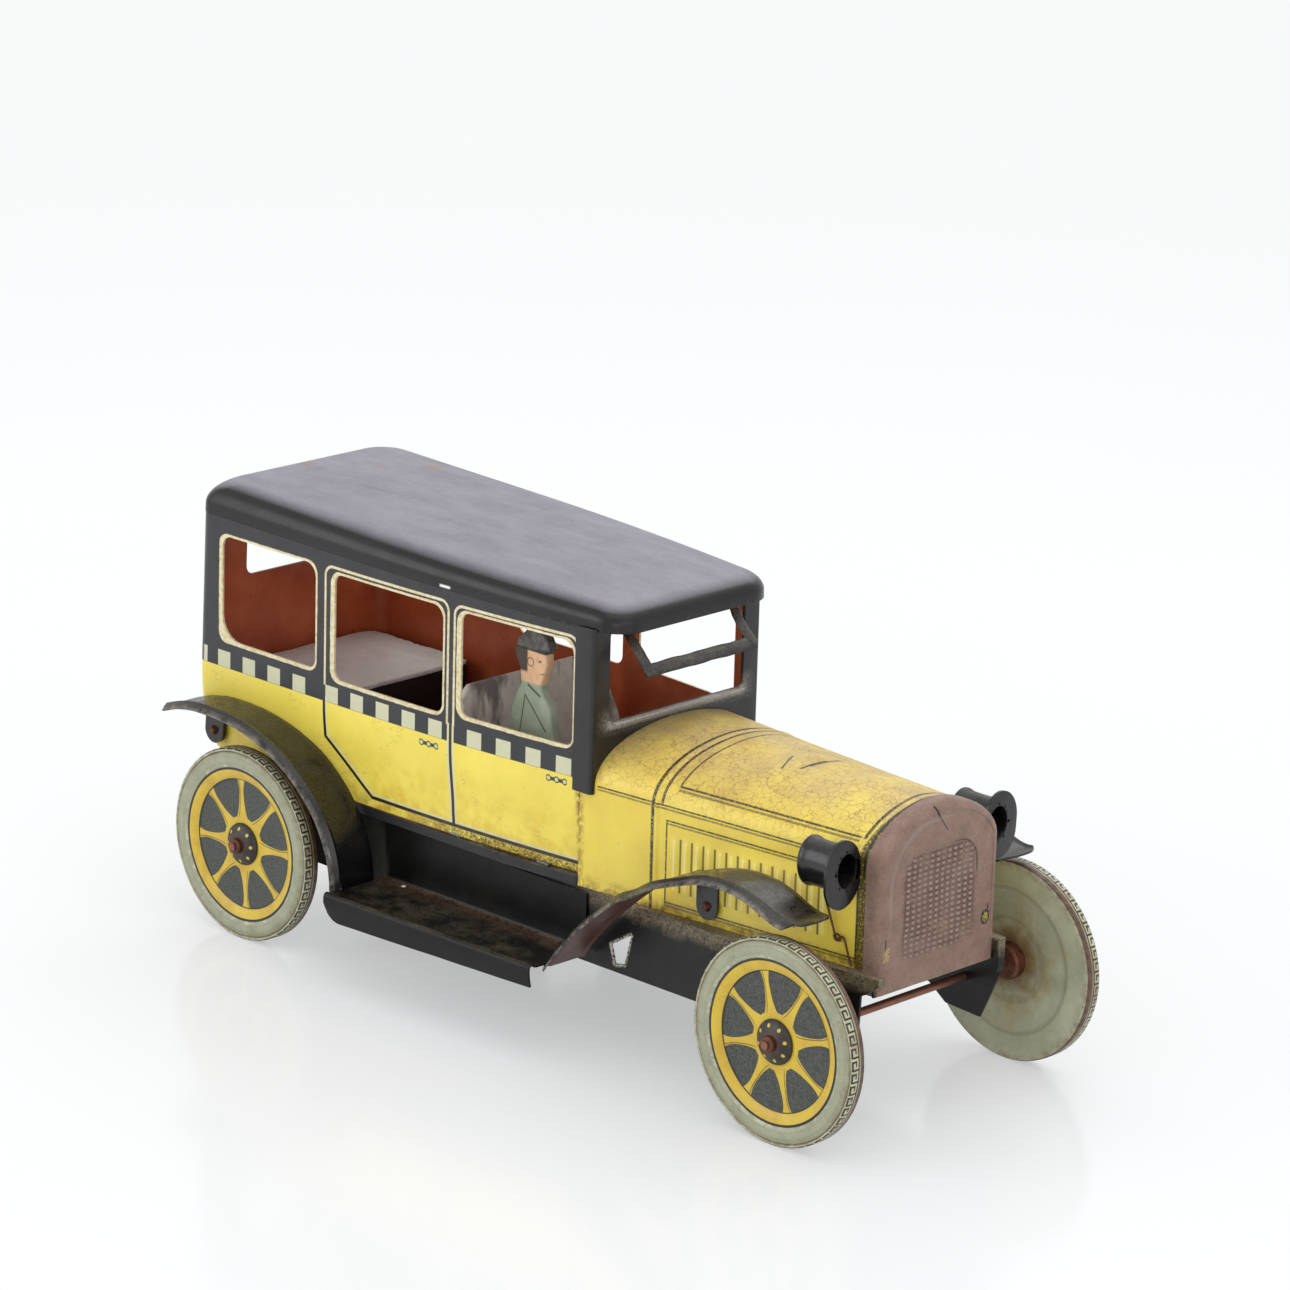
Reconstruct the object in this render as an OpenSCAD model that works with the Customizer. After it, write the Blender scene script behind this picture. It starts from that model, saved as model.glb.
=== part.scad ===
// Friction-drive tin taxi, pressed from sheet tin over a flat chassis.
// +X is the front of the car, +Y its left side, +Z up, and Z = 0 is the ground.
// Every module is drawn with the rear axle at X = 0 and then moved so that
// the middle of the whole car stands on the origin.

/* [Wheels] */
// Diameter over the tread
wheel_d = 50; // [44:0.5:54]
// Width of the tyre
tyre_w = 4.8; // [4:0.1:6]
// Distance between the two axles
wheelbase = 185; // [170:1:200]
// Front track, over the outer tyre faces
front_track = 88.2; // [84:0.2:94]
// Rear track, over the outer tyre faces
rear_track = 87; // [84:0.2:94]
// Outer radius of the painted rim ring
rim_r = 20; // [18.5:0.1:21]
// Radius of the sunk spoke disc
spoke_r = 16.9; // [14:0.1:17.5]
// Depth of the spoke disc behind the tyre face
spoke_sink = 1.7; // [1:0.1:2.2]
// Radius of the domed hub cap
hub_r = 5.5; // [4:0.1:7]
// Radius of the riveted nut on the axle end
nut_r = 2; // [1.6:0.1:2.6]
// Radius of the boss behind the wheel
boss_r = 4.5; // [3.5:0.1:5.5]

/* [Axles] */
// Radius of both axle rods
axle_r = 1; // [0.8:0.05:1.4]
// Radial running clearance of every shaft in its hole
run_gap = 0.05; // [0.03:0.01:0.09]

/* [Sheet metal] */
// Thickness of the tin
tin = 0.6; // [0.4:0.05:0.8]
// Gap between two pressings that sit against each other
seat_gap = 0.1; // [0.05:0.05:0.25]

/* [Chassis] */
// How far the body's front edge stands out past each side rail
rail_in = 0.4; // [0.2:0.1:0.8]
// Width of the shelf on each side of the radiator
shelf_w = 2.1; // [1.5:0.1:3]
// Height of the deck above the axles
deck_up = 13.5; // [12:0.1:16]
// Depth of the rails below the deck
rail_h = 18.5; // [17:0.1:20]
// How far the deck reaches in front of the front axle
deck_ahead = 13; // [12:0.5:16]
// How far the deck reaches behind the rear axle
deck_behind = 25; // [22:0.5:27]

/* [Body] */
// Width of the body at the rear
body_w = 64.6; // [60:0.2:68]
// Width of the body at the windshield
body_front_w = 56; // [54.8:0.2:60]
// How far the rear wall lies behind the rear axle
body_behind = 30; // [28.5:0.5:32]
// Forward lean of the rear wall at the roof
rear_lean = 1.7; // [1:0.1:2.5]
// From the rear axle to the front edge of the side panels
body_ahead = 105.4; // [100:0.2:112]
// Height of the sill above the deck
sill_up = 2.4; // [2:0.1:4]
// Height of the belt line above the deck
belt_up = 27; // [24:0.1:29]
// Height of the window sills above the deck
window_up = 33.5; // [31:0.1:37]
// Height of the windows
window_h = 27.3; // [20:0.1:28]
// How far the sides curve in below the belt
tumble = 2.1; // [1:0.1:3]
// Radius of the rounded rear lower corner
rear_curve_r = 12; // [6:0.5:14]
// Radius of the upright rear corners
corner_r = 4; // [3:0.5:8]
// Width of the rear window
rear_window_w = 32.5; // [20:0.5:40]
// Height of the rear window
rear_window_h = 14.5; // [8:0.5:17]

/* [Roof] */
// Height of the roof rim above the deck, at the rear
roof_up = 66.5; // [64:0.5:70]
// Fall of the roof rim from rear to front
roof_fall = 2; // [0:0.1:4]
// Fall of the roof's top from rear to front, past that of the rim
top_fall = 2.4; // [1:0.1:3]
// Height of the roof lid
roof_h = 9.4; // [8.4:0.1:12]
// Radius of the drawn edge of the lid
roof_edge_r = 7; // [4:0.1:7.2]
// How far the lid stands out past the walls it rests on
roof_over = 0.1; // [0:0.05:0.2]
// How far the lid stands out in front of the windshield
roof_front_over = 6.6; // [5:0.1:9]

/* [Windshield] */
// From the side panels' front edge to the windshield
shield_ahead = 4.6; // [3.5:0.1:7]
// Width of each windshield pillar
pillar_w = 5.6; // [4:0.1:8]
// Height of the windshield sill above the deck
shield_sill_up = 41.2; // [40:0.1:44]
// Height of the pillar feet above the deck
shield_foot_up = 24.2; // [20:0.1:28]
// Width of the strip of the opened upper frame
visor_strip = 2.3; // [1.5:0.1:3.5]
// Length of the opened upper frame
visor_drop = 12.5; // [8:0.5:14]
// Angle at which the upper frame stands open
visor_angle = 43; // [15:1:60]

/* [Hood] */
// From the front axle to the front edge of the hood
hood_ahead = 9; // [7:0.2:11]
// Width of the hood at the front
hood_front_w = 40.4; // [38:0.2:42]
// Height of the hood sides above the deck
hood_side_up = 26; // [23:0.1:28]
// Rise of the arched top above the sides
hood_rise = 11.6; // [9:0.1:13]
// Length of the radiator shell
radiator_len = 4.4; // [3.4:0.1:6]
// How far the radiator plate hangs below the deck
radiator_drop = 5.1; // [3:0.1:6]
// Amount by which the radiator face is smaller than its shell, each side
radiator_shoulder = 1.6; // [0.8:0.1:2.4]

/* [Headlamps] */
// Half the height of the oval lamp barrel
lamp_r = 6.1; // [5:0.1:6.6]
// Length of the lamp barrel
lamp_len = 12; // [9:0.5:14]
// Half the width of the oval lamp hole
lamp_hole_r = 3.2; // [2.6:0.1:3.4]
// Radius of the lamp flange
lamp_flange_r = 7; // [6.4:0.1:7.4]
// Height of the lamps above the deck
lamp_up = 25.6; // [22:0.1:29]

/* [Fenders and boards] */
// Gap between the tread and the crown of the fenders
fender_gap = 9; // [6:0.5:12]
// Sideways reach of the fenders past the rear body side
fender_w = 13.4; // [11:0.2:15]
// Distance of the front fenders' inner edge from the middle
front_fender_in = 29.4; // [28.6:0.1:31]
// Sideways reach of the front fenders
front_fender_w = 14.4; // [12:0.2:15.5]
// From the rear axle to the running boards
board_rear_x = 38; // [36:0.5:42]
// From the running boards to the front axle
board_to_axle = 76; // [70:0.5:80]
// Height of the running boards above the ground
board_z = 22.6; // [21:0.1:25]
// Distance of the boards' outer edge from the middle, at the rear
board_out = 48.6; // [46:0.2:50]
// The same at the front
board_out_front = 46.9; // [45:0.2:50]
// Height of the board's hanging skirt
skirt_h = 6; // [4:0.1:7]

/* [Friction drive] */
// Tooth module of all gears
gear_m = 0.5; // [0.45:0.01:0.52]
// Teeth of the large gears
gear_z = 36; // [34:1:38]
// Teeth of the pinions
pinion_z = 12; // [12:1:13]
// Radius of the flywheel
flywheel_r = 10.2; // [8:0.1:10.3]
// Width of the flywheel
flywheel_w = 11; // [8:0.2:11.4]
// Distance between the two side plates
plate_span = 21; // [20:0.2:22]
// Thickness of the side plates
plate_t = 1; // [0.8:0.1:1.2]

/* [Cabin] */
// Height of the rear bench top above the deck
bench_up = 24; // [23:0.1:26]
// Height of the front seat cushion above the deck
seat_up = 18.5; // [15:0.1:20]
// Height of the front seat back above the deck
back_up = 38.8; // [35:0.1:42]
// From the rear axle to the back of the front seat
seat_x = 58.5; // [52:0.5:62]
// Height of the driver above the cushion
driver_h = 38.2; // [30:0.2:39]

/* [Hidden] */
$fn = 64;

// Widths over the two side rails, behind and at the front end
chassis_w = body_front_w - 2 * rail_in;
chassis_front_w = hood_front_w + 2 * shelf_w;

// Heights
wheel_r = wheel_d / 2;
axle_z = wheel_r;
deck_z = axle_z + deck_up;
sill_z = deck_z + sill_up;
belt_z = deck_z + belt_up;
window_z = deck_z + window_up;
rim_z = deck_z + roof_up;
fender_top_z = wheel_d + fender_gap;

// Lengths along X, from the rear axle
deck_front_x = wheelbase + deck_ahead;
shield_x = body_ahead + shield_ahead;
roof_rear_x = -body_behind + rear_lean - roof_over;
roof_front_x = shield_x + roof_front_over;
hood_rear_x = body_ahead + seat_gap;
hood_front_x = wheelbase + hood_ahead;
car_front_x = wheelbase + wheel_r;
middle_x = (car_front_x - body_behind) / 2;

// Body plan: straight behind taper_x, then curving in towards the windshield
taper_x = 30;
plan_steps = 10;

function body_half(x) =
    body_w / 2
    - (body_w - body_front_w) / 2 * pow(max(0, x - taper_x) / (body_ahead - taper_x), 2);

function arc(cx, cy, r, a0, a1, n = 8) =
    [for (i = [0:n]) [cx + r * cos(a0 + (a1 - a0) * i / n), cy + r * sin(a0 + (a1 - a0) * i / n)]];

function mirrored(points) = [for (i = [len(points) - 1:-1:0]) [points[i][0], -points[i][1]]];

// The +Y half of a plan outline, from the front to the rear
function half_plan(x0, x1, out, r0, r1) = concat(
    arc(x1 - r1, body_half(x1 - r1) + out - r1, r1, 0, 90),
    [for (i = [plan_steps - 1:-1:1])
        let (x = x0 + r0 + (x1 - r1 - x0 - r0) * i / plan_steps) [x, body_half(x) + out]],
    arc(x0 + r0, body_half(x0 + r0) + out - r0, r0, 90, 180)
);

function plan(x0, x1, out, r0, r1) =
    let (half = half_plan(x0, x1, out, r0, r1)) concat(half, mirrored(half));

module on_car() {
    translate([-middle_x, 0, 0]) children();
}

// A profile drawn as [x, z] and given a width along Y, from y0 to y1
module across(y0, y1) {
    translate([0, y1, 0]) rotate([90, 0, 0]) linear_extrude(y1 - y0) children();
}

// An outline drawn as [y, z] and given a length along X, from x0 to x1
module along(x0, x1) {
    translate([x0, 0, 0]) rotate([90, 0, 90]) linear_extrude(x1 - x0) children();
}

// Mirrors a right-hand piece to the left
module left() {
    mirror([0, 1, 0]) children();
}

// ---------- body shell ----------

function roof_line(x) = rim_z - roof_fall * (x - roof_rear_x) / (roof_front_x - roof_rear_x);

// The rear wall leans forward above its curved foot
lean_z = sill_z + rear_curve_r;
lean_angle = atan(rear_lean / (rim_z - lean_z));

module body_volume(inset) {
    rear = -body_behind + inset;
    front = body_ahead + (inset > 0 ? 5 : 0);
    curve_r = rear_curve_r - inset;
    low = sill_z - (inset > 0 ? 5 : 0);
    high = inset > 0 ? 5 : -seat_gap;
    half = body_w / 2 - inset;
    round_r = corner_r - inset;
    intersection() {
        translate([0, 0, low])
            linear_extrude(rim_z - low + 10)
                polygon(plan(rear, front, -inset, 0.01, 0.01));
        translate([rear, 0, lean_z]) rotate([0, lean_angle, 0])
            translate([0, 0, -30]) linear_extrude(100) polygon(concat(
                [[180, -half], [180, half]],
                arc(round_r, half - round_r, round_r, 90, 180),
                arc(round_r, round_r - half, round_r, 180, 270)
            ));
        along(rear - 1, front + 1) polygon([
            [-half + tumble, low], [-half + tumble * 0.72, sill_z + 6],
            [-half + tumble * 0.35, sill_z + 13], [-half, belt_z], [-half, rim_z + 10],
            [half, rim_z + 10], [half, belt_z], [half - tumble * 0.35, sill_z + 13],
            [half - tumble * 0.72, sill_z + 6], [half - tumble, low]
        ]);
        across(-body_w, body_w) polygon(concat(
            [[front, low]],
            [[front, roof_line(front) + high], [rear, roof_line(rear) + high]],
            arc(-body_behind + rear_curve_r, sill_z + rear_curve_r, curve_r, 180, 270),
            [[-body_behind + rear_curve_r + 0.01, low]]
        ));
    }
}

// The rear wall's turned-in foot is cut short between the sides, to clear the drive
foot_len = 4.5;

module body_shell() {
    difference() {
        body_volume(0);
        body_volume(tin);
        translate([foot_len - body_behind, -cover_half - 1.5, sill_z - 1])
            cube([rear_curve_r, 2 * cover_half + 3, foot_len + 1]);
    }
}

// A window with its four corner radii: rear lower, front lower, front upper, rear upper
module window(x0, x1, z0, z1, r) {
    polygon(concat(
        arc(x0 + r[0], z0 + r[0], r[0], 180, 270, 6), arc(x1 - r[1], z0 + r[1], r[1], 270, 360, 6),
        arc(x1 - r[2], z1 - r[2], r[2], 0, 90, 6), arc(x0 + r[3], z1 - r[3], r[3], 90, 180, 6)
    ));
}

quarter_x = [-19.3, 15.8];
rear_door_x = [22.8, 61.1];
front_door_x = [67.2, body_ahead - 2.6];
window_top = window_z + window_h;
seam_x = quarter_x[0] - 1.7;

module side_windows() {
    window(quarter_x[0], quarter_x[1], window_z + 1, window_top + 0.9, [6.5, 2.5, 3.5, 3]);
    window(rear_door_x[0], rear_door_x[1], window_z, window_top, [2.5, 2.5, 3.5, 2.5]);
    window(front_door_x[0], front_door_x[1], window_z + 1, window_top - 0.1, [2.5, 2, 3.5, 2.5]);
}

module body_side_right() {
    color("khaki") on_car() difference() {
        body_shell();
        translate([-100, 0, 0]) cube([300, 100, 200]);
        translate([-100, -100, 0]) cube([100 + seam_x, 200, 200]);
        across(-body_w, 0) side_windows();
    }
}

module body_side_left() {
    left() body_side_right();
}

module body_rear() {
    color("khaki") on_car() difference() {
        body_shell();
        translate([seam_x - seat_gap, -100, 0]) cube([300, 200, 200]);
        translate([-body_behind - 2, 0, 0]) along(0, 8) window(
            -rear_window_w / 2, rear_window_w / 2,
            window_top - rear_window_h, window_top - 0.2, [2.5, 2.5, 2.5, 2.5]
        );
    }
}

// Small tabs bent flat on the floor pan, which hold the body down
tab_len = 4;
tab_h = 2;

module body_tabs() {
    color("dimgray") on_car() for (k = [0.28, 0.59, 0.87], side = [-1, 1]) {
        x = k * body_ahead;
        wall_in = min(body_half(x + tab_len), body_w / 2 - tumble) - tin;
        translate([x, side * (wall_in - seat_gap - tab_h / 2) - tab_h / 2, sill_z])
            cube([tab_len, tab_h, tin]);
    }
}

// ---------- roof ----------

roof_rear_r = corner_r + roof_over;
roof_front_r = 8.5;
roof_len = roof_front_x - roof_rear_x;

// Levels of the drawn edge: each lies further in, more round in the corners and more
// tilted to the front than the one below
module roof_solid(inset, lower) {
    hull() {
        roof_level(inset, 0, 0, lower);
        for (a = [0:15:90])
            roof_level(inset, roof_edge_r * (1 - cos(a)), sin(a), roof_h - roof_edge_r + roof_edge_r * sin(a));
    }
}

module roof_level(inset, edge, share, z) {
    shrink = inset + edge * (1 - inset / roof_edge_r);
    translate([roof_rear_x, 0, z - inset * share - 0.02])
        rotate([0, share * atan(top_fall / roof_len), 0])
            translate([-roof_rear_x, 0, 0]) linear_extrude(0.02)
                polygon(plan(
                    roof_rear_x + shrink, roof_front_x - shrink, roof_over - shrink,
                    roof_rear_r + 0.7 * edge - inset, roof_front_r - 0.6 * edge - inset
                ));
}

module roof() {
    tilt = atan(roof_fall / roof_len);
    color([0.25, 0.25, 0.27]) on_car()
        translate([roof_rear_x, 0, rim_z]) rotate([0, tilt, 0]) translate([-roof_rear_x, 0, 0])
            difference() {
                roof_solid(0, 0.02);
                roof_solid(tin, -1);
            }
}

// ---------- windshield ----------

flange_len = shield_ahead + 1.6;
shield_half = body_half(shield_x - flange_len) + seat_gap + tin;
shield_foot_z = deck_z + shield_foot_up;
shield_sill_z = deck_z + shield_sill_up;
ledge_len = 1.8;
shield_top_z = roof_line(shield_x) + 1;

module windshield() {
    open_half = shield_half - pillar_w;
    side_top_z = roof_line(shield_x) - 2 * seat_gap;
    color([0.22, 0.22, 0.24]) on_car() {
        difference() {
            union() {
                along(shield_x - tin, shield_x) polygon([
                    [-shield_half, shield_foot_z], [shield_half, shield_foot_z],
                    [shield_half, side_top_z], [shield_half - 3, side_top_z],
                    [shield_half - 3, shield_top_z], [-shield_half + 3, shield_top_z],
                    [-shield_half + 3, side_top_z], [-shield_half, side_top_z]
                ]);
                for (y = [-shield_half, shield_half - tin])
                    translate([shield_x - flange_len, y, shield_foot_z])
                        cube([flange_len - tin / 2, tin, side_top_z - shield_foot_z]);
            }
            along(shield_x - 2, shield_x + 1) window(
                -open_half, open_half, shield_sill_z, shield_top_z - 2, [1.2, 1.2, 1, 1]
            );
            hood_solid(-seat_gap, shield_foot_z - deck_z - 5);
        }
        translate([shield_x - tin / 2, -open_half + 1, shield_sill_z - tin])
            cube([ledge_len, 2 * open_half - 2, tin]);
        visor_frame(open_half - 3);
    }
}

// The upper frame, cut from the opening and bent forward along its top edge
module visor_frame(top_half) {
    foot_half = top_half - 2.4;
    translate([shield_x, 0, shield_top_z - 2])
        rotate([0, -visor_angle, 0]) rotate([90, 0, 90]) linear_extrude(tin)
            difference() {
                polygon([
                    [-top_half, 0.3], [top_half, 0.3],
                    [foot_half, -visor_drop], [-foot_half, -visor_drop]
                ]);
                polygon([
                    [-top_half + visor_strip, 1], [top_half - visor_strip, 1],
                    [foot_half - visor_strip, visor_strip - visor_drop],
                    [-foot_half + visor_strip, visor_strip - visor_drop]
                ]);
            }
}

// ---------- hood and radiator ----------

function hood_half(x) =
    body_half(body_ahead) - 0.1
    - (body_half(body_ahead) - 0.1 - hood_front_w / 2) * (x - hood_rear_x) / (hood_front_x - hood_rear_x);

function arch_point(t, half, side, rise, power) =
    [half * sign(cos(t)) * pow(abs(cos(t)), power), side + rise * pow(abs(sin(t)), power)];

// Cross-section of the hood: upright sides with an arched top, flattened by power
function hood_section(half, foot, side, rise, power) = concat(
    [[-half, foot]],
    [for (t = [180:-9:0]) arch_point(t, half, side, rise, power)],
    [[half, foot]]
);

module hood_solid(inset, foot_up = seat_gap) {
    hull() {
        along(hood_rear_x, hood_rear_x + 0.02) polygon(hood_section(
            hood_half(hood_rear_x) - inset, deck_z + foot_up,
            deck_z + hood_side_up, hood_rise + 0.9 - inset, 0.94
        ));
        along(hood_front_x - 0.02, hood_front_x) polygon(hood_section(
            hood_half(hood_front_x) - inset, deck_z + foot_up,
            deck_z + hood_side_up, hood_rise - inset, 1.14
        ));
    }
}

module hood() {
    color("khaki") on_car() difference() {
        hood_solid(0);
        hood_hollow(tin);
    }
}

// What the hood encloses, running out past both of its ends
module hood_hollow(wall) {
    hull() {
        along(hood_rear_x - 0.5, hood_rear_x - 0.48) polygon(hood_section(
            hood_half(hood_rear_x) - wall, deck_z - 1,
            deck_z + hood_side_up, hood_rise + 0.9 - wall, 0.94
        ));
        along(hood_front_x + 0.48, hood_front_x + 0.5) polygon(hood_section(
            hood_half(hood_front_x) - wall, deck_z - 1,
            deck_z + hood_side_up, hood_rise - wall, 1.14
        ));
    }
}

radiator_front_x = hood_front_x + 2.2;
plate_x = radiator_front_x - tin;
radiator_rear_x = radiator_front_x - radiator_len;

// Cross-section that stands out past the hood, or inside it where out is negative
module radiator_section(x, out, foot_up) {
    along(x - 0.02, x) polygon(hood_section(
        hood_half(min(x, hood_front_x)) + out, deck_z + foot_up,
        deck_z + hood_side_up, hood_rise + out, 1.14
    ));
}

module radiator() {
    hollow_foot = -radiator_drop - 1;
    color("rosybrown") on_car() difference() {
        hull() {
            radiator_section(radiator_rear_x, tin + seat_gap, -radiator_drop);
            radiator_section(hood_front_x + seat_gap, tin + seat_gap, -radiator_drop);
            radiator_section(radiator_front_x, -radiator_shoulder, -radiator_drop);
        }
        hull() {
            radiator_section(radiator_rear_x - 1, seat_gap, hollow_foot);
            radiator_section(hood_front_x + seat_gap, seat_gap, hollow_foot);
            radiator_section(plate_x, -radiator_shoulder - tin / 2, hollow_foot);
        }
        translate([radiator_rear_x - 1, -50, deck_z - radiator_drop - 2])
            cube([plate_x - radiator_rear_x + 1, 100, radiator_drop + 2 + 2 * seat_gap]);
    }
}

// ---------- headlamps ----------

lamp_front_x = hood_front_x - 3.4;
lamp_side_r = lamp_r * 0.77;
lamp_y = hood_half(lamp_front_x - lamp_len) + lamp_side_r + seat_gap;
lamp_z = deck_z + lamp_up;

// An upright oval that is k times the size of the lamp barrel
function lamp_oval(k) =
    [for (a = [0:15:345]) [k * lamp_side_r * cos(a), k * lamp_r * sin(a)]];

module headlamp_right() {
    rear_x = lamp_front_x - lamp_len;
    hole_k = lamp_hole_r / lamp_side_r;
    flange_half = lamp_y - hood_half(lamp_front_x) - seat_gap;
    color([0.24, 0.24, 0.26]) on_car() translate([0, -lamp_y, lamp_z]) difference() {
        union() {
            along(rear_x, rear_x + lamp_len * 0.35) polygon(lamp_oval(1));
            along(rear_x + lamp_len * 0.35, rear_x + lamp_len * 0.75) polygon(lamp_oval(0.88));
            along(rear_x + lamp_len * 0.75, lamp_front_x) polygon(lamp_oval(1));
            along(lamp_front_x - 0.9, lamp_front_x) intersection() {
                polygon(concat(
                    arc(0, 0.6, lamp_flange_r, 0, 180, 12),
                    arc(0, -3, lamp_flange_r, 200, 240, 4), [[-1.4, -lamp_flange_r - 2.2]],
                    [[1.4, -lamp_flange_r - 2.2]], arc(0, -3, lamp_flange_r, 300, 340, 4)
                ));
                translate([-30, -30]) square([30 + flange_half, 60]);
            }
        }
        along(rear_x + tin, lamp_front_x + 1) polygon(lamp_oval(hole_k));
    }
}

module headlamp_left() {
    left() headlamp_right();
}

// Tie wire from the hood side past the lamp down to the deck, as [x, out from the hood, z up]
wire_r = 0.3;
wire_path = [
    [180.6, 0.5, 18.2], [181, 1.4, 15.6], [182, 0.9, 12], [183, 0.7, 9], [184.2, 0.8, 6.6],
    [186.2, 0.9, 7.2], [187.4, 0.7, 4], [188.6, 0.6, 0.7]
];

function wire_point(p) =
    let (x = p[0] - 185 + wheelbase) [x, -hood_half(x) - p[1] * 0.6 - wire_r, deck_z + p[2]];

module rod_between(a, b, r) {
    run = b - a;
    translate(a)
        rotate([0, acos(run[2] / norm(run)), atan2(run[1], run[0])])
            cylinder(r = r, h = norm(run), $fn = 8);
}

module tie_wire() {
    color("sienna") on_car() {
        for (i = [0:len(wire_path) - 2])
            rod_between(wire_point(wire_path[i]), wire_point(wire_path[i + 1]), wire_r);
        for (i = [1:len(wire_path) - 2])
            translate(wire_point(wire_path[i])) sphere(r = i == 4 ? 2.2 * wire_r : 1.25 * wire_r);
    }
}

// ---------- chassis ----------

narrow_x = 150 - 185 + wheelbase;

function chassis_plan(out) = [
    [-deck_behind - out, chassis_w / 2 + out], [narrow_x, chassis_w / 2 + out],
    [deck_front_x + out, chassis_front_w / 2 + out], [deck_front_x + out, -chassis_front_w / 2 - out],
    [narrow_x, -chassis_w / 2 - out], [-deck_behind - out, -chassis_w / 2 - out]
];

rail_z = deck_z - rail_h;
notch_half = hood_front_w / 2 - 0.2;
front_wall_x = plate_x - seat_gap - tin;
well_half = plate_span / 2 + plate_t + 1.5;
well_front_x = 8;
well_rear_x = -23;

module chassis() {
    color([0.16, 0.16, 0.17]) on_car() difference() {
        union() {
            translate([0, 0, deck_z - tin]) linear_extrude(tin) polygon(chassis_plan(0));
            intersection() {
                translate([0, 0, rail_z - 5]) linear_extrude(deck_z - rail_z + 5) difference() {
                    polygon(chassis_plan(0));
                    polygon(chassis_plan(-tin));
                }
                rails_side_view();
            }
        }
        translate([front_wall_x + tin, -notch_half, rail_z - 10]) cube([20, 2 * notch_half, 60]);
        translate([well_rear_x, -well_half, deck_z - 5])
            cube([well_front_x - well_rear_x, 2 * well_half, 10]);
        for (x = [0, wheelbase])
            translate([x, 0, axle_z]) rotate([90, 0, 0])
                cylinder(r = axle_r + run_gap, h = 2 * chassis_w, center = true);
        across(-chassis_w, 0) polygon([
            [117, rail_z + 6.5], [118.4, rail_z + 2], [121.6, rail_z + 2.6], [123.6, rail_z + 10.6], [121, rail_z + 9]
        ]);
        across(-chassis_w, -notch_half) polygon([
            [wheelbase + 6.5, 0], [wheelbase + 8, deck_z - radiator_drop],
            [deck_front_x - 3, deck_z - 4], [deck_front_x + 1, deck_z - 1], [deck_front_x + 1, 0]
        ]);
    }
    color([0.16, 0.16, 0.17]) on_car()
        translate([front_wall_x, -notch_half - 1, deck_z - radiator_drop - 0.2])
            cube([tin, 2 * notch_half + 2, radiator_drop + 0.2 - tin]);
}

// Side view of the rails: they step down round the front axle
module rails_side_view() {
    foot_z = axle_z - 8.5;
    across(-chassis_w, chassis_w) polygon([
        [-deck_behind - 1, deck_z], [-deck_behind - 1, rail_z + 4], [-deck_behind + 5, rail_z],
        [wheelbase - 12, rail_z], [wheelbase - 6, foot_z], [wheelbase + 6, foot_z],
        [deck_front_x + 1, deck_z - radiator_drop], [deck_front_x + 1, deck_z]
    ]);
}

// A shallow tray, turned over on the deck, on which the body walls stand
module floor_pan() {
    color([0.12, 0.12, 0.13]) on_car() difference() {
        pan_block(0, deck_z, sill_z - seat_gap);
        pan_block(tin, deck_z - 1, sill_z - seat_gap - tin);
        translate([well_rear_x - 10, -well_half - 4, deck_z - 1])
            cube([well_front_x - well_rear_x + 9.5, 2 * well_half + 8, 10]);
    }
}

module pan_block(inset, z0, z1) {
    half = body_w / 2 - tumble - inset;
    translate([0, 0, z0]) linear_extrude(z1 - z0) intersection() {
        polygon(plan(-body_behind + rear_curve_r + inset, body_ahead - inset, -inset, 1, 1));
        translate([-50, -half]) square([200, 2 * half]);
    }
}

// ---------- running boards ----------

board_front_x = wheelbase - board_to_axle;
board_in = chassis_w / 2 + seat_gap;

module running_board_right() {
    slope = (board_out - board_out_front) / (board_front_x - board_rear_x);
    color([0.18, 0.18, 0.19]) on_car() {
        translate([0, 0, board_z - tin]) linear_extrude(tin) polygon([
            [board_rear_x, -board_in], [board_rear_x, -board_out],
            [board_front_x, -board_out_front], [board_front_x, -board_in]
        ]);
        translate([board_rear_x, -board_in - tin, board_z])
            cube([board_front_x - board_rear_x, tin, deck_z - board_z - 1]);
        intersection() {
            translate([0, 0, board_z - skirt_h]) linear_extrude(skirt_h + 0.7) polygon([
                [board_rear_x, -board_out], [board_front_x, -board_out_front],
                [board_front_x, -board_out_front + tin], [board_rear_x, -board_out + tin]
            ]);
            across(-board_out - 1, 0) polygon(concat(
                arc(board_rear_x + 5, board_z - skirt_h + 5, 5, 180, 270),
                [
                    [board_front_x, board_z - skirt_h + slope * 60],
                    [board_front_x, board_z + 0.7], [board_rear_x, board_z + 0.7]
                ]
            ));
        }
    }
}

module running_board_left() {
    left() running_board_right();
}

// ---------- fenders ----------

fender_steps = 12;

// Rear fender, seen from the side: a quarter ellipse down to the board and a lifted tail
rear_fender_x = -10;
rear_fender_foot_x = board_rear_x - seat_gap;

function rear_fender_line(off) = let (
    ry = fender_top_z - board_z - off,
    rx = rear_fender_foot_x - rear_fender_x - off
) concat(
    [for (i = [0:fender_steps]) let (a = 90 * i / fender_steps)
        [rear_fender_x + rx * cos(a), board_z + ry * sin(a)]],
    [
        [rear_fender_x - 6, fender_top_z - off - 0.2], [rear_fender_x - 12, fender_top_z - off - 1.2],
        [rear_fender_x - 17.5, fender_top_z - off - 3]
    ]
);

// Front fender: from the board up over the wheel, with a tip that turns up
front_fender_x = wheelbase - 18;

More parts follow.
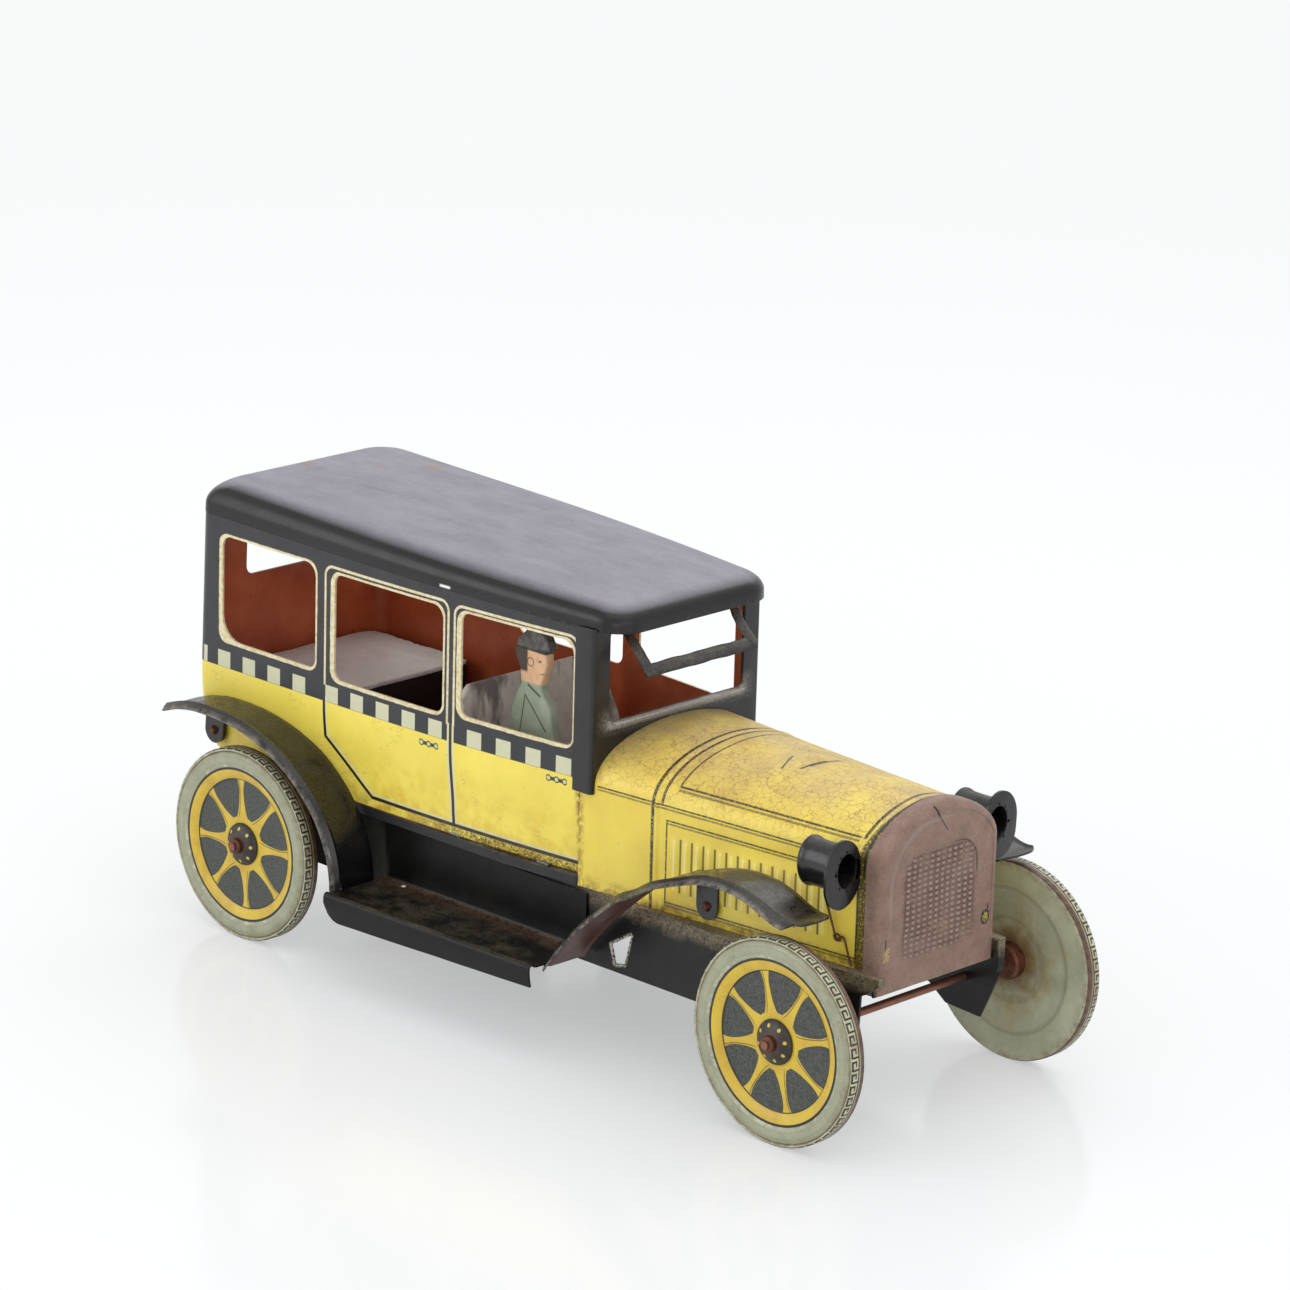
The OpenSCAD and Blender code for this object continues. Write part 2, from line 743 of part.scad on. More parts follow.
function front_fender_line(off) = [
    for (p = [
        [board_front_x, board_z], [board_front_x + 3.4, board_z + 4.6], [board_front_x + 6.6, board_z + 8.4],
        [board_front_x + 11.4, board_z + 13.4], [board_front_x + 17.8, board_z + 19.2],
        [board_front_x + 24, board_z + 24.1], [board_front_x + 29.4, fender_top_z - 9.6],
        [front_fender_x - 23, fender_top_z - 6.2], [front_fender_x - 14, fender_top_z - 2.8],
        [front_fender_x - 7, fender_top_z - 0.7], [front_fender_x, fender_top_z],
        [front_fender_x + 6, fender_top_z - 0.5], [front_fender_x + 11, fender_top_z - 1.9],
        [front_fender_x + 16, fender_top_z - 3.9], [front_fender_x + 20, fender_top_z - 4.7],
        [front_fender_x + 24, fender_top_z - 4.2]
    ]) [p[0] + off * 0.45, p[1] - off]
];

function strip(outer, inner) = concat(outer, [for (i = [len(inner) - 1:-1:0]) inner[i]]);

rear_fender_in = body_w / 2 - 1;
rear_fender_out = body_w / 2 + fender_w;
rear_tab = [-22, wheel_d - 2];
rear_tab_y = body_w / 2 + 0.3;
front_tab = [wheelbase - 39, deck_z + 5];
tab_r = 3.4;

module fender_rear_right() {
    crown = fender_top_z - tin / 2;
    color([0.3, 0.3, 0.3]) on_car() difference() {
        union() {
            across(-rear_fender_out, -rear_fender_in)
                polygon(strip(rear_fender_line(0), rear_fender_line(tin)));
            across(-rear_tab_y, -rear_tab_y + 3) union() {
                translate(rear_tab) circle(tab_r);
                polygon([
                    [rear_tab[0] - tab_r, rear_tab[1]], [rear_tab[0] + tab_r, rear_tab[1]],
                    [rear_tab[0] + tab_r + 1, crown - 0.5], [rear_tab[0] - tab_r + 0.6, crown - 2.1]
                ]);
            }
        }
        body_volume(-seat_gap);
        translate([-100, -body_w / 2 + tumble, 0]) cube(200);
    }
}

module fender_rear_left() {
    left() fender_rear_right();
}

tab_y = hood_half(front_tab[0] - 4) + seat_gap;

module fender_front_right() {
    web_z = front_fender_web_z;
    color([0.3, 0.3, 0.3]) on_car() {
        across(-front_fender_in - front_fender_w, -front_fender_in)
            polygon(strip(front_fender_line(0), front_fender_line(tin)));
        across(-tab_y - tin, -tab_y) union() {
            translate(front_tab) circle(tab_r);
            translate([front_tab[0] - tab_r, front_tab[1]]) square([2 * tab_r, web_z - front_tab[1]]);
        }
        translate([front_tab[0] - tab_r, -front_fender_in - 1, web_z - tin])
            cube([2 * tab_r, front_fender_in + 1 - tab_y, tin]);
    }
}

front_fender_web_z = fender_top_z - 7.3;

module fender_front_left() {
    left() fender_front_right();
}

rivet_r = 1.4;
rivet_h = 0.9;

module fender_rivets() {
    color("dimgray") on_car() for (side = [-1, 1]) {
        translate([front_tab[0], side * (tab_y + tin), front_tab[1]])
            rotate([-side * 90, 0, 0]) cylinder(r1 = rivet_r, r2 = rivet_r * 0.6, h = rivet_h);
        translate([rear_tab[0], side * rear_tab_y, rear_tab[1]])
            rotate([-side * 90, 0, 0]) cylinder(r1 = rivet_r, r2 = rivet_r * 0.6, h = rivet_h);
    }
}

// ---------- wheels ----------
// Drawn on +Z: z = 0 is the inner edge of the tread, z = tyre_w the outer face.

boss_len = 3;
disc_z = tyre_w - spoke_sink;

module wheel_back_shape() {
    color([0.62, 0.62, 0.48]) rotate_extrude($fn = 96) polygon([
        [boss_r - 1.4, 1.6], [boss_r + 4.5, 1.6], [boss_r + 6, 0.9], [wheel_r * 0.7, 0.9],
        [wheel_r * 0.74, 0.3], [wheel_r - 0.9, 0.3], [wheel_r - 0.9, tyre_w - 0.9],
        [wheel_r - 0.5, tyre_w - 0.5], [wheel_r, tyre_w - 1], [wheel_r, 0.5], [wheel_r - 0.5, 0],
        [wheel_r * 0.73, 0], [wheel_r * 0.69, 0.5], [boss_r + 5.8, 0.5], [boss_r + 4.3, 1.1],
        [boss_r - 1.4, 1.1]
    ]);
}

module wheel_face_shape() {
    edge_r = wheel_r - 1;
    color([0.69, 0.69, 0.56]) rotate_extrude($fn = 96) polygon([
        [axle_r, disc_z], [spoke_r, disc_z], [rim_r - 0.3, tyre_w - 0.5], [rim_r, tyre_w - 0.3],
        [(rim_r + edge_r) / 2, tyre_w], [edge_r - 1, tyre_w - 0.2], [edge_r, tyre_w - 0.7],
        [edge_r, tyre_w - 1.7], [edge_r - 0.5, tyre_w - 1.7], [edge_r - 0.6, tyre_w - 0.8],
        [(rim_r + edge_r) / 2, tyre_w - 0.5], [rim_r + 0.2, tyre_w - 0.9],
        [spoke_r + 0.2, disc_z - 0.5], [axle_r, disc_z - 0.5]
    ]);
}

module hub_cap_shape() {
    color([0.2, 0.2, 0.2]) rotate_extrude() polygon([
        [axle_r, disc_z], [hub_r, disc_z], [hub_r, disc_z + 0.5], [hub_r * 0.8, disc_z + 1.4],
        [hub_r * 0.45, disc_z + 2], [axle_r, disc_z + 2]
    ]);
}

module boss_shape() {
    color("saddlebrown") rotate_extrude() polygon([
        [axle_r, 1.1 - boss_len], [boss_r - 0.6, 1.1 - boss_len], [boss_r, 1.7 - boss_len], [boss_r, 1.1],
        [boss_r - 1.4, 1.1], [boss_r - 1.4, disc_z - 0.5], [axle_r, disc_z - 0.5]
    ]);
}

module nut_shape() {
    color("saddlebrown") rotate_extrude() polygon([
        [axle_r, disc_z + 2], [nut_r, disc_z + 2], [nut_r, disc_z + 3], [nut_r * 0.75, disc_z + 3.5],
        [axle_r, disc_z + 3.5]
    ]);
}

// side is -1 for the right-hand wheel and 1 for the left-hand one
module at_wheel(x, track, side) {
    on_car() translate([x, side * (track / 2 - tyre_w), axle_z]) rotate([-side * 90, 0, 0]) children();
}

module wheel_face_front_right() { at_wheel(wheelbase, front_track, -1) wheel_face_shape(); }
module wheel_face_front_left() { at_wheel(wheelbase, front_track, 1) wheel_face_shape(); }
module wheel_back_front_right() { at_wheel(wheelbase, front_track, -1) wheel_back_shape(); }
module wheel_back_front_left() { at_wheel(wheelbase, front_track, 1) wheel_back_shape(); }
module hub_cap_front_right() { at_wheel(wheelbase, front_track, -1) hub_cap_shape(); }
module hub_cap_front_left() { at_wheel(wheelbase, front_track, 1) hub_cap_shape(); }
module wheel_face_rear_right() { at_wheel(0, rear_track, -1) wheel_face_shape(); }
module wheel_face_rear_left() { at_wheel(0, rear_track, 1) wheel_face_shape(); }
module wheel_back_rear_right() { at_wheel(0, rear_track, -1) wheel_back_shape(); }
module wheel_back_rear_left() { at_wheel(0, rear_track, 1) wheel_back_shape(); }
module hub_cap_rear_right() { at_wheel(0, rear_track, -1) hub_cap_shape(); }
module hub_cap_rear_left() { at_wheel(0, rear_track, 1) hub_cap_shape(); }
module front_bosses() { for (side = [-1, 1]) at_wheel(wheelbase, front_track, side) boss_shape(); }
module rear_bosses() { for (side = [-1, 1]) at_wheel(0, rear_track, side) boss_shape(); }
module front_nuts() { for (side = [-1, 1]) at_wheel(wheelbase, front_track, side) nut_shape(); }
module rear_nuts() { for (side = [-1, 1]) at_wheel(0, rear_track, side) nut_shape(); }

module axle(x, track) {
    length = track - 2 * tyre_w + 2 * (disc_z + 3.9);
    color("sienna") on_car() translate([x, 0, axle_z]) rotate([90, 0, 0])
        cylinder(r = axle_r, h = length, center = true);
}

module front_axle() {
    axle(wheelbase, front_track);
}

module rear_axle() {
    axle(0, rear_track);
}

// ---------- friction drive ----------

gear_pitch_r = gear_m * gear_z / 2;
pinion_pitch_r = gear_m * pinion_z / 2;
centre_dist = gear_pitch_r + pinion_pitch_r;
train_angle = 115;
train_step = [centre_dist * cos(train_angle), 0, centre_dist * sin(train_angle)];
drive_at = [0, 0, axle_z];
counter_at = drive_at + train_step;
flywheel_at = counter_at + train_step;
shaft_r = 0.9;
pressure_angle = 20;
gear_backlash = 0.16;

function involute_angle(base, r) = let (a = acos(min(1, base / r))) tan(a) * 180 / PI - a;

// Half the angle that a tooth takes at radius r
function tooth_half(teeth, r) = let (
    pitch = gear_m * teeth / 2,
    base = pitch * cos(pressure_angle)
) 90 / teeth - gear_backlash / pitch * 90 / PI
    + involute_angle(base, pitch) - involute_angle(base, max(r, base));

function gear_points(teeth) = let (
    pitch = gear_m * teeth / 2,
    root = pitch - 1.25 * gear_m,
    tip = pitch + 0.85 * gear_m,
    base = pitch * cos(pressure_angle),
    start = max(base, root)
) [
    for (i = [0:teeth - 1]) let (mid = 360 * i / teeth)
        each concat(
            [for (p = [[root, -1], [start, -1]]) polar(p[0], mid - tooth_half(teeth, start))],
            [for (k = [1:3]) let (r = start + (tip - start) * k / 3) polar(r, mid - tooth_half(teeth, r))],
            [for (k = [3:-1:0]) let (r = start + (tip - start) * k / 3) polar(r, mid + tooth_half(teeth, r))],
            [polar(root, mid + tooth_half(teeth, start))]
        )
];

function polar(r, a) = [r * cos(a), r * sin(a)];

// A gear in the XZ plane with its middle at y and one tooth turned to tooth_at
module gear(teeth, y, width, bore, tooth_at) {
    translate([0, y + width / 2, 0]) rotate([90, 0, 0]) linear_extrude(width) difference() {
        rotate(tooth_at) polygon(gear_points(teeth));
        circle(bore);
    }
}

first_mesh_y = plate_span / 2 - 2.6;
second_mesh_y = -first_mesh_y;
gear_w = 1.8;
pinion_w = 2.8;

module drive_gear() {
    color("goldenrod") on_car() translate(drive_at)
        gear(gear_z, first_mesh_y, gear_w, axle_r, train_angle);
}

module counter_pinion() {
    color("silver") on_car() translate(counter_at)
        gear(pinion_z, first_mesh_y, pinion_w, shaft_r, train_angle + 180 + 180 / pinion_z);
}

module counter_gear() {
    color("goldenrod") on_car() translate(counter_at)
        gear(gear_z, second_mesh_y, gear_w, shaft_r, train_angle);
}

module flywheel_pinion() {
    color("silver") on_car() translate(flywheel_at)
        gear(pinion_z, second_mesh_y, pinion_w, shaft_r, train_angle + 180 + 180 / pinion_z);
}

module drive_shaft(at) {
    color("silver") on_car() translate(at) rotate([90, 0, 0])
        cylinder(r = shaft_r, h = plate_span + 2 * plate_t + 1, center = true);
}

module countershaft() {
    drive_shaft(counter_at);
}

module flywheel_shaft() {
    drive_shaft(flywheel_at);
}

module flywheel() {
    color([0.35, 0.35, 0.37]) on_car() translate(flywheel_at) rotate([90, 0, 0]) rotate_extrude() polygon([
        [shaft_r, -flywheel_w / 2 + 1], [flywheel_r * 0.45, -flywheel_w / 2 + 1],
        [flywheel_r * 0.55, -flywheel_w / 2], [flywheel_r - 0.5, -flywheel_w / 2],
        [flywheel_r, -flywheel_w / 2 + 0.5], [flywheel_r, flywheel_w / 2 - 0.5],
        [flywheel_r - 0.5, flywheel_w / 2], [flywheel_r * 0.55, flywheel_w / 2],
        [flywheel_r * 0.45, flywheel_w / 2 - 1], [shaft_r, flywheel_w / 2 - 1]
    ]);
}

plate_rear_x = -22;
plate_front_x = 6;
plate_low_z = axle_z - 5;
plate_high_z = flywheel_at[2] + 5;
pillar_r = 1.5;
screw_r = 0.8;
pillar_at = [
    [plate_rear_x + 3, deck_z - 6], [plate_front_x - 1.6, deck_z + 5.5],
    [flywheel_at[0] - 3, plate_low_z + 3.4]
];

module mechanism_plate_right() {
    y_out = -plate_span / 2 - plate_t;
    color([0.55, 0.56, 0.58]) on_car() difference() {
        union() {
            across(y_out, -plate_span / 2) polygon([
                [plate_rear_x, deck_z - 10], [plate_rear_x + 4, plate_low_z], [plate_front_x - 2, plate_low_z],
                [plate_front_x, plate_low_z + 3], [plate_front_x, plate_high_z - 4],
                [plate_front_x - 4, plate_high_z], [plate_rear_x + 6, plate_high_z],
                [plate_rear_x, plate_high_z - 8]
            ]);
            for (x = [plate_rear_x + 1, plate_front_x - 9])
                translate([x, y_out - 4, deck_z + seat_gap]) cube([8, 4, plate_t]);
        }
        for (at = [drive_at, counter_at, flywheel_at])
            translate([at[0], 0, at[2]]) rotate([90, 0, 0])
                cylinder(r = (at == drive_at ? axle_r : shaft_r) + run_gap, h = 60, center = true);
        for (p = pillar_at)
            translate([p[0], 0, p[1]]) rotate([90, 0, 0]) cylinder(r = screw_r, h = 60, center = true);
    }
}

module mechanism_plate_left() {
    left() mechanism_plate_right();
}

module plate_pillars() {
    color("silver") on_car() for (p = pillar_at) translate([p[0], 0, p[1]]) rotate([90, 0, 0]) {
        cylinder(r = pillar_r, h = plate_span, center = true);
        cylinder(r = screw_r, h = plate_span + 2 * plate_t + 2.2, center = true);
    }
}

module pillar_nuts() {
    color("dimgray") on_car() for (p = pillar_at, side = [-1, 1])
        translate([p[0], side * (plate_span / 2 + plate_t), p[1]]) rotate([-side * 90, 0, 0])
            linear_extrude(0.8) difference() {
                circle(1.6, $fn = 6);
                circle(screw_r);
            }
}

// ---------- cabin ----------

bench_z = deck_z + bench_up;
bench_t = 1.8;
cover_front_x = 8.5;
cover_rear_x = plate_rear_x - 2 * tin;
cover_half = body_w / 2 - tumble - tin - 2.6;

module mechanism_cover() {
    color([0.1, 0.1, 0.1]) on_car() difference() {
        translate([cover_rear_x, -cover_half, sill_z])
            cube([cover_front_x - cover_rear_x, 2 * cover_half, bench_z - bench_t - sill_z]);
        translate([cover_rear_x + tin, -cover_half + tin, sill_z - 1])
            cube([cover_front_x - cover_rear_x - 2 * tin, 2 * (cover_half - tin), bench_z - bench_t - tin - sill_z + 1]);
    }
}

// The bench board's rear corners are rounded to fit inside the body
bench_corner_r = 6;

module rear_bench() {
    rear = -body_behind + tin + 0.9;
    half = cover_half + 1;
    color("gainsboro") on_car() translate([0, 0, bench_z - bench_t]) linear_extrude(bench_t) polygon(concat(
        [[cover_front_x + 0.5, -half], [cover_front_x + 0.5, half]],
        arc(rear + bench_corner_r, half - bench_corner_r, bench_corner_r, 90, 180),
        arc(rear + bench_corner_r, bench_corner_r - half, bench_corner_r, 180, 270)
    ));
}

seat_half = body_half(seat_x + 26) - tumble - tin - 2.6;
seat_len = 24;
seat_back_t = 1.8;
seat_z = deck_z + seat_up;
wing = 7;

module front_seat_base() {
    color([0.5, 0.48, 0.46]) on_car() translate([seat_x + seat_back_t + seat_gap, -seat_half, sill_z])
        difference() {
            cube([seat_len, 2 * seat_half, seat_z - sill_z]);
            translate([tin, tin, -tin]) cube([seat_len - 2 * tin, 2 * (seat_half - tin), seat_z - sill_z]);
        }
}

// The seat back bends forward at both ends, and stands on the floor behind the cushion
module front_seat_back() {
    top_z = deck_z + back_up;
    color([0.62, 0.6, 0.57]) on_car() {
        translate([seat_x, -seat_half, sill_z]) cube([seat_back_t, 2 * seat_half, top_z - 4 - sill_z]);
        along(seat_x, seat_x + seat_back_t) window(
            -seat_half, seat_half, top_z - 4, top_z, [0.1, 0.1, 3.9, 3.9]
        );
        for (y = [-seat_half, seat_half - seat_back_t])
            across(y, y + seat_back_t) polygon([
                [seat_x + seat_back_t, seat_z + seat_gap],
                [seat_x + seat_back_t + wing, seat_z + seat_gap],
                [seat_x + seat_back_t + wing, seat_z + 7], [seat_x + seat_back_t + wing * 0.6, top_z - 7],
                [seat_x + seat_back_t, top_z - 4]
            ]);
    }
}

driver_y = -17;
driver_t = 3;
driver_x = seat_x + 20.7;

// Flat tin figure in profile, facing the front: cap, head, coat, arms and knees
module driver() {
    k = driver_h / 36.6;
    color([0.5, 0.55, 0.5]) on_car() translate([driver_x, 0, seat_z + seat_gap])
        across(driver_y - driver_t / 2, driver_y + driver_t / 2) polygon([for (p = [
            [-7.4, 0], [-7.6, 10], [-7.2, 16], [-5.4, 20.4], [-4.2, 22.4], [-4.6, 26], [-6.4, 29.4],
            [-5.6, 33], [-2.6, 35.8], [1, 36.6], [4, 35], [5.6, 32.4], [4, 31.4], [4.4, 28.6],
            [3.6, 26], [2.6, 23.6], [2.8, 21.4], [5.4, 18.6], [6.4, 14], [7.2, 9.6], [9.2, 8.2],
            [9.2, 3.4], [6.4, 0]
        ]) p * k]);
}

body_side_right();
body_side_left();
body_rear();
roof();
windshield();
hood();
radiator();
headlamp_right();
headlamp_left();
tie_wire();
fender_front_right();
fender_front_left();
fender_rear_right();
fender_rear_left();
fender_rivets();
running_board_right();
running_board_left();
chassis();
floor_pan();
front_axle();
front_bosses();
front_nuts();
wheel_face_front_right();
wheel_face_front_left();
wheel_back_front_right();
wheel_back_front_left();
hub_cap_front_right();
hub_cap_front_left();
rear_axle();
rear_bosses();
rear_nuts();
wheel_face_rear_right();
wheel_face_rear_left();
wheel_back_rear_right();
wheel_back_rear_left();
hub_cap_rear_right();
hub_cap_rear_left();
drive_gear();
mechanism_plate_right();
mechanism_plate_left();
plate_pillars();
pillar_nuts();
countershaft();
counter_pinion();
counter_gear();
flywheel_shaft();
flywheel_pinion();
flywheel();
mechanism_cover();
rear_bench();
front_seat_base();
front_seat_back();
driver();
body_tabs();
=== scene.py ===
import bpy
import bmesh
import math
from mathutils import Vector, Matrix, noise


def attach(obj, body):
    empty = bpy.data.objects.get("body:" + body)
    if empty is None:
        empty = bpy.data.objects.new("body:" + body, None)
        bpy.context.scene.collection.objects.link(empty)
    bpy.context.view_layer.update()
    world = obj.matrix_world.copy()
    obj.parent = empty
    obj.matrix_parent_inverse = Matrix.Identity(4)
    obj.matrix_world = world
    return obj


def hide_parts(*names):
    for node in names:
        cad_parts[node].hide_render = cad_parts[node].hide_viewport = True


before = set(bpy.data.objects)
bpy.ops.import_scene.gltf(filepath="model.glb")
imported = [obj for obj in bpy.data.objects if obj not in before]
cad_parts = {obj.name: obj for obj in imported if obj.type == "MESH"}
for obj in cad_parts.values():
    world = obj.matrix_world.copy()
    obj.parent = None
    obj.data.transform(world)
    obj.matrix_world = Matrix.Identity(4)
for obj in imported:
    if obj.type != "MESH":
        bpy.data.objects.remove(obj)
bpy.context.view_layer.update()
print("frame loaded:", len(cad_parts), "nodes")

# all lengths below are in mm with x = 0 at the rear axle
car = {"middle": 90.0, "wheelR": 25.0, "tyreW": 4.8, "base": 185.0, "frontTrack": 88.2, "rearTrack": 87.0,
       "deck": 38.5, "sill": 40.9, "rimRear": 105.0, "roofFall": 2.0, "roofRear": -28.4, "roofFront": 116.6,
       "bodyRear": -30.0, "bodyFront": 105.4, "bodyHalf": 32.3, "frontHalf": 28.0}
# side windows: rear, front, low, high and corner radii
windows = [(-19.3, 15.8, 73.0, 100.2, (6.5, 2.5, 3.5, 3)), (22.8, 61.1, 72.0, 99.3, (2.5, 2.5, 3.5, 2.5)),
           (67.2, 102.8, 73.0, 99.2, (2.5, 2, 3.5, 2.5))]
hood = {"rear": 105.5, "front": 194.0, "foot": 38.6, "side": 64.5, "rearHalf": 27.9, "frontHalf": 20.2,
        "rearRise": 12.5, "frontRise": 11.6, "rearPower": 0.94, "frontPower": 1.14, "around": 110, "along": 250,
        "louvre": 3.43, "firstLouvre": 135, "bead": 129.3, "relief": 0.42}
hood["taper"] = (hood["rearHalf"] - hood["frontHalf"]) / (hood["front"] - hood["rear"])
sideName = {-1: "right", 1: "left"}


# shapes that the pieces share

def smooth(v, a, b):
    t = min(1.0, max(0.0, (v - a) / (b - a)))
    return t * t * (3 - 2 * t)


def lerp(a, b, t):
    return a + (b - a) * t


def bodyHalf(x):
    k = max(0.0, x - 30) / (car["bodyFront"] - 30)
    return car["bodyHalf"] - (car["bodyHalf"] - car["frontHalf"]) * k * k


def roofLine(x):
    return car["rimRear"] - car["roofFall"] * (x - car["roofRear"]) / (car["roofFront"] - car["roofRear"])


def hoodHalf(x):
    return hood["rearHalf"] - hood["taper"] * (x - hood["rear"])


def roundLoop(x0, x1, z0, z1, r, n=7):
    pts = []
    for cx, cz, rr, a in ((x0 + r[0], z0 + r[0], r[0], 180), (x1 - r[1], z0 + r[1], r[1], 270),
                          (x1 - r[2], z1 - r[2], r[2], 0), (x0 + r[3], z1 - r[3], r[3], 90)):
        for i in range(n):
            w = math.radians(a + 90 * i / (n - 1))
            pts.append((cx + rr * math.cos(w), cz + rr * math.sin(w)))
    return pts


def curveThrough(pts, n):
    # even Catmull-Rom points through the given ones
    out = []
    for i in range(len(pts) - 1):
        p0 = Vector(pts[max(i - 1, 0)])
        p1 = Vector(pts[i])
        p2 = Vector(pts[i + 1])
        p3 = Vector(pts[min(i + 2, len(pts) - 1)])
        for k in range(n):
            t = k / n
            out.append(0.5 * (2 * p1 + (p2 - p0) * t + (2 * p0 - 5 * p1 + 4 * p2 - p3) * t * t
                              + (3 * p1 - p0 - 3 * p2 + p3) * t ** 3))
    out.append(Vector(pts[-1]))
    return out


def surface(nu, nv, place):
    # a grid whose points are put in place by a function of u and v
    bm = bmesh.new()
    bmesh.ops.create_grid(bm, x_segments=nu, y_segments=nv, size=0.5)
    for v in bm.verts:
        v.co = place(v.co.x + 0.5, v.co.y + 0.5)
    return bm


def plate(outer, holes, stepU, stepV, place, across=None):
    # a flat outline with holes, cut into strips and then bent into place
    bm = bmesh.new()
    edges = []
    for loop in [outer] + holes:
        vs = [bm.verts.new((p[0], p[1], 0)) for p in loop]
        edges += [bm.edges.new((vs[i], vs[(i + 1) % len(vs)])) for i in range(len(vs))]
    bmesh.ops.triangle_fill(bm, use_beauty=True, use_dissolve=False, edges=edges)
    for cuts, axis in ((stepU, (1, 0, 0)), (stepV, (0, 1, 0))):
        for c in cuts:
            at = Vector(axis) * c
            bmesh.ops.bisect_plane(bm, geom=bm.verts[:] + bm.edges[:] + bm.faces[:], dist=0.0001,
                                   plane_co=at, plane_no=axis)
    bmesh.ops.join_triangles(bm, faces=bm.faces, angle_face_threshold=0.1, angle_shape_threshold=3.0)
    layer = bm.verts.layers.float.new("along")
    for v in bm.verts:
        u, w = v.co.x, v.co.y
        v[layer] = across(u, w) if across else u
        v.co = place(u, w)
    return bm


def thicken(bm, thick, inward, matInner=0):
    # inward(p) is the way the wall grows from its outer face
    bmesh.ops.recalc_face_normals(bm, faces=bm.faces)
    f = max(bm.faces, key=lambda q: q.calc_area())
    if f.normal.dot(inward(f.calc_center_median())) > 0:
        bmesh.ops.reverse_faces(bm, faces=bm.faces)
    bm.normal_update()
    normals = {v: v.normal.copy() for v in bm.verts}
    copied = bmesh.ops.duplicate(bm, geom=bm.verts[:] + bm.edges[:] + bm.faces[:])
    pairs = copied["vert_map"]
    inner = [g for g in copied["geom"] if isinstance(g, bmesh.types.BMFace)]
    innerVerts = {g for g in copied["geom"] if isinstance(g, bmesh.types.BMVert)}
    for v, nrm in normals.items():
        pairs[v].co = v.co - nrm * thick
    bmesh.ops.reverse_faces(bm, faces=inner)
    rim = [e for e in bm.edges if len(e.link_faces) == 1]
    sew(bm, rim, pairs, innerVerts)
    for q in inner:
        q.material_index = matInner
    bmesh.ops.recalc_face_normals(bm, faces=bm.faces)


def sew(bm, rim, pairs, innerVerts):
    for e in rim:
        a, b = e.verts
        if a in innerVerts or b in innerVerts:
            continue
        bm.faces.new((a, b, pairs[b], pairs[a])).material_index = 0


def lathe(profile, steps=96):
    # profile is [radius, height]; turned about Z
    bm = bmesh.new()
    vs = [bm.verts.new((r, 0, h)) for r, h in profile]
    es = [bm.edges.new((vs[i], vs[i + 1])) for i in range(len(vs) - 1)]
    bmesh.ops.spin(bm, geom=vs + es, cent=(0, 0, 0), axis=(0, 0, 1), angle=math.tau, steps=steps,
                   use_merge=True)
    bmesh.ops.remove_doubles(bm, verts=bm.verts, dist=0.0005)
    return bm


def block(x0, x1, y0, y1, z0, z1, bevel=0.15, segments=2):
    bm = bmesh.new()
    bmesh.ops.create_cube(bm, size=1)
    for v in bm.verts:
        v.co = Vector((lerp(x0, x1, v.co.x + 0.5), lerp(y0, y1, v.co.y + 0.5), lerp(z0, z1, v.co.z + 0.5)))
    if bevel:
        bmesh.ops.bevel(bm, geom=bm.edges[:], offset=bevel, segments=segments, affect="EDGES",
                        profile=0.5, material=-1)
    return bm


def tube(points, r, sides=10, radii=None):
    # a rod along a list of points
    bm = bmesh.new()
    rings = []
    pts = [Vector(p) for p in points]
    side = None
    for i, p in enumerate(pts):
        run = (pts[min(i + 1, len(pts) - 1)] - pts[max(i - 1, 0)]).normalized()
        if side is None:
            side = run.orthogonal().normalized()
        side = (side - run * side.dot(run)).normalized()
        up = run.cross(side)
        rr = radii[i] if radii else r
        turns = [math.tau * k / sides for k in range(sides)]
        ring = [bm.verts.new(p + (side * math.cos(w) + up * math.sin(w)) * rr) for w in turns]
        rings.append([bm.edges.new((ring[k], ring[(k + 1) % sides])) for k in range(sides)])
    for a, b in zip(rings, rings[1:]):
        bmesh.ops.bridge_loops(bm, edges=a + b)
    for ring in (rings[0], rings[-1]):
        bmesh.ops.edgeloop_fill(bm, edges=ring)
    bmesh.ops.recalc_face_normals(bm, faces=bm.faces)
    return bm


def merge(bm, other):
    # adds another mesh to this one
    temp = bpy.data.meshes.new("temp")
    other.to_mesh(temp)
    other.free()
    bm.from_mesh(temp)
    bpy.data.meshes.remove(temp)


def mirrorY(bm):
    for v in bm.verts:
        v.co.y = -v.co.y
    bmesh.ops.reverse_faces(bm, faces=bm.faces)


def piece(name, bm, mats, body, nodes, slot, sharp):
    # sharp is the angle in degrees from which an edge shows
    bmesh.ops.recalc_face_normals(bm, faces=bm.faces)
    for v in bm.verts:
        v.co = Vector(((v.co.x - car["middle"]) / 1000, v.co.y / 1000, v.co.z / 1000))
    bm.normal_update()
    for f in bm.faces:
        f.smooth = True
    limit = math.radians(sharp)
    for e in bm.edges:
        if len(e.link_faces) == 2 and e.calc_face_angle(0) > limit:
            e.smooth = False
    mesh = bpy.data.meshes.new(name)
    bm.to_mesh(mesh)
    bm.free()
    for m in mats:
        mesh.materials.append(m)
    obj = bpy.data.objects.new(name, mesh)
    bpy.context.scene.collection.objects.link(obj)
    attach(obj, body)
    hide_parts(*([nodes] if isinstance(nodes, str) else nodes))


# materials: patterns in mm on object coordinates

def rgb(r, g, b):
    return ((r / 255) ** 2.2, (g / 255) ** 2.2, (b / 255) ** 2.2, 1.0)


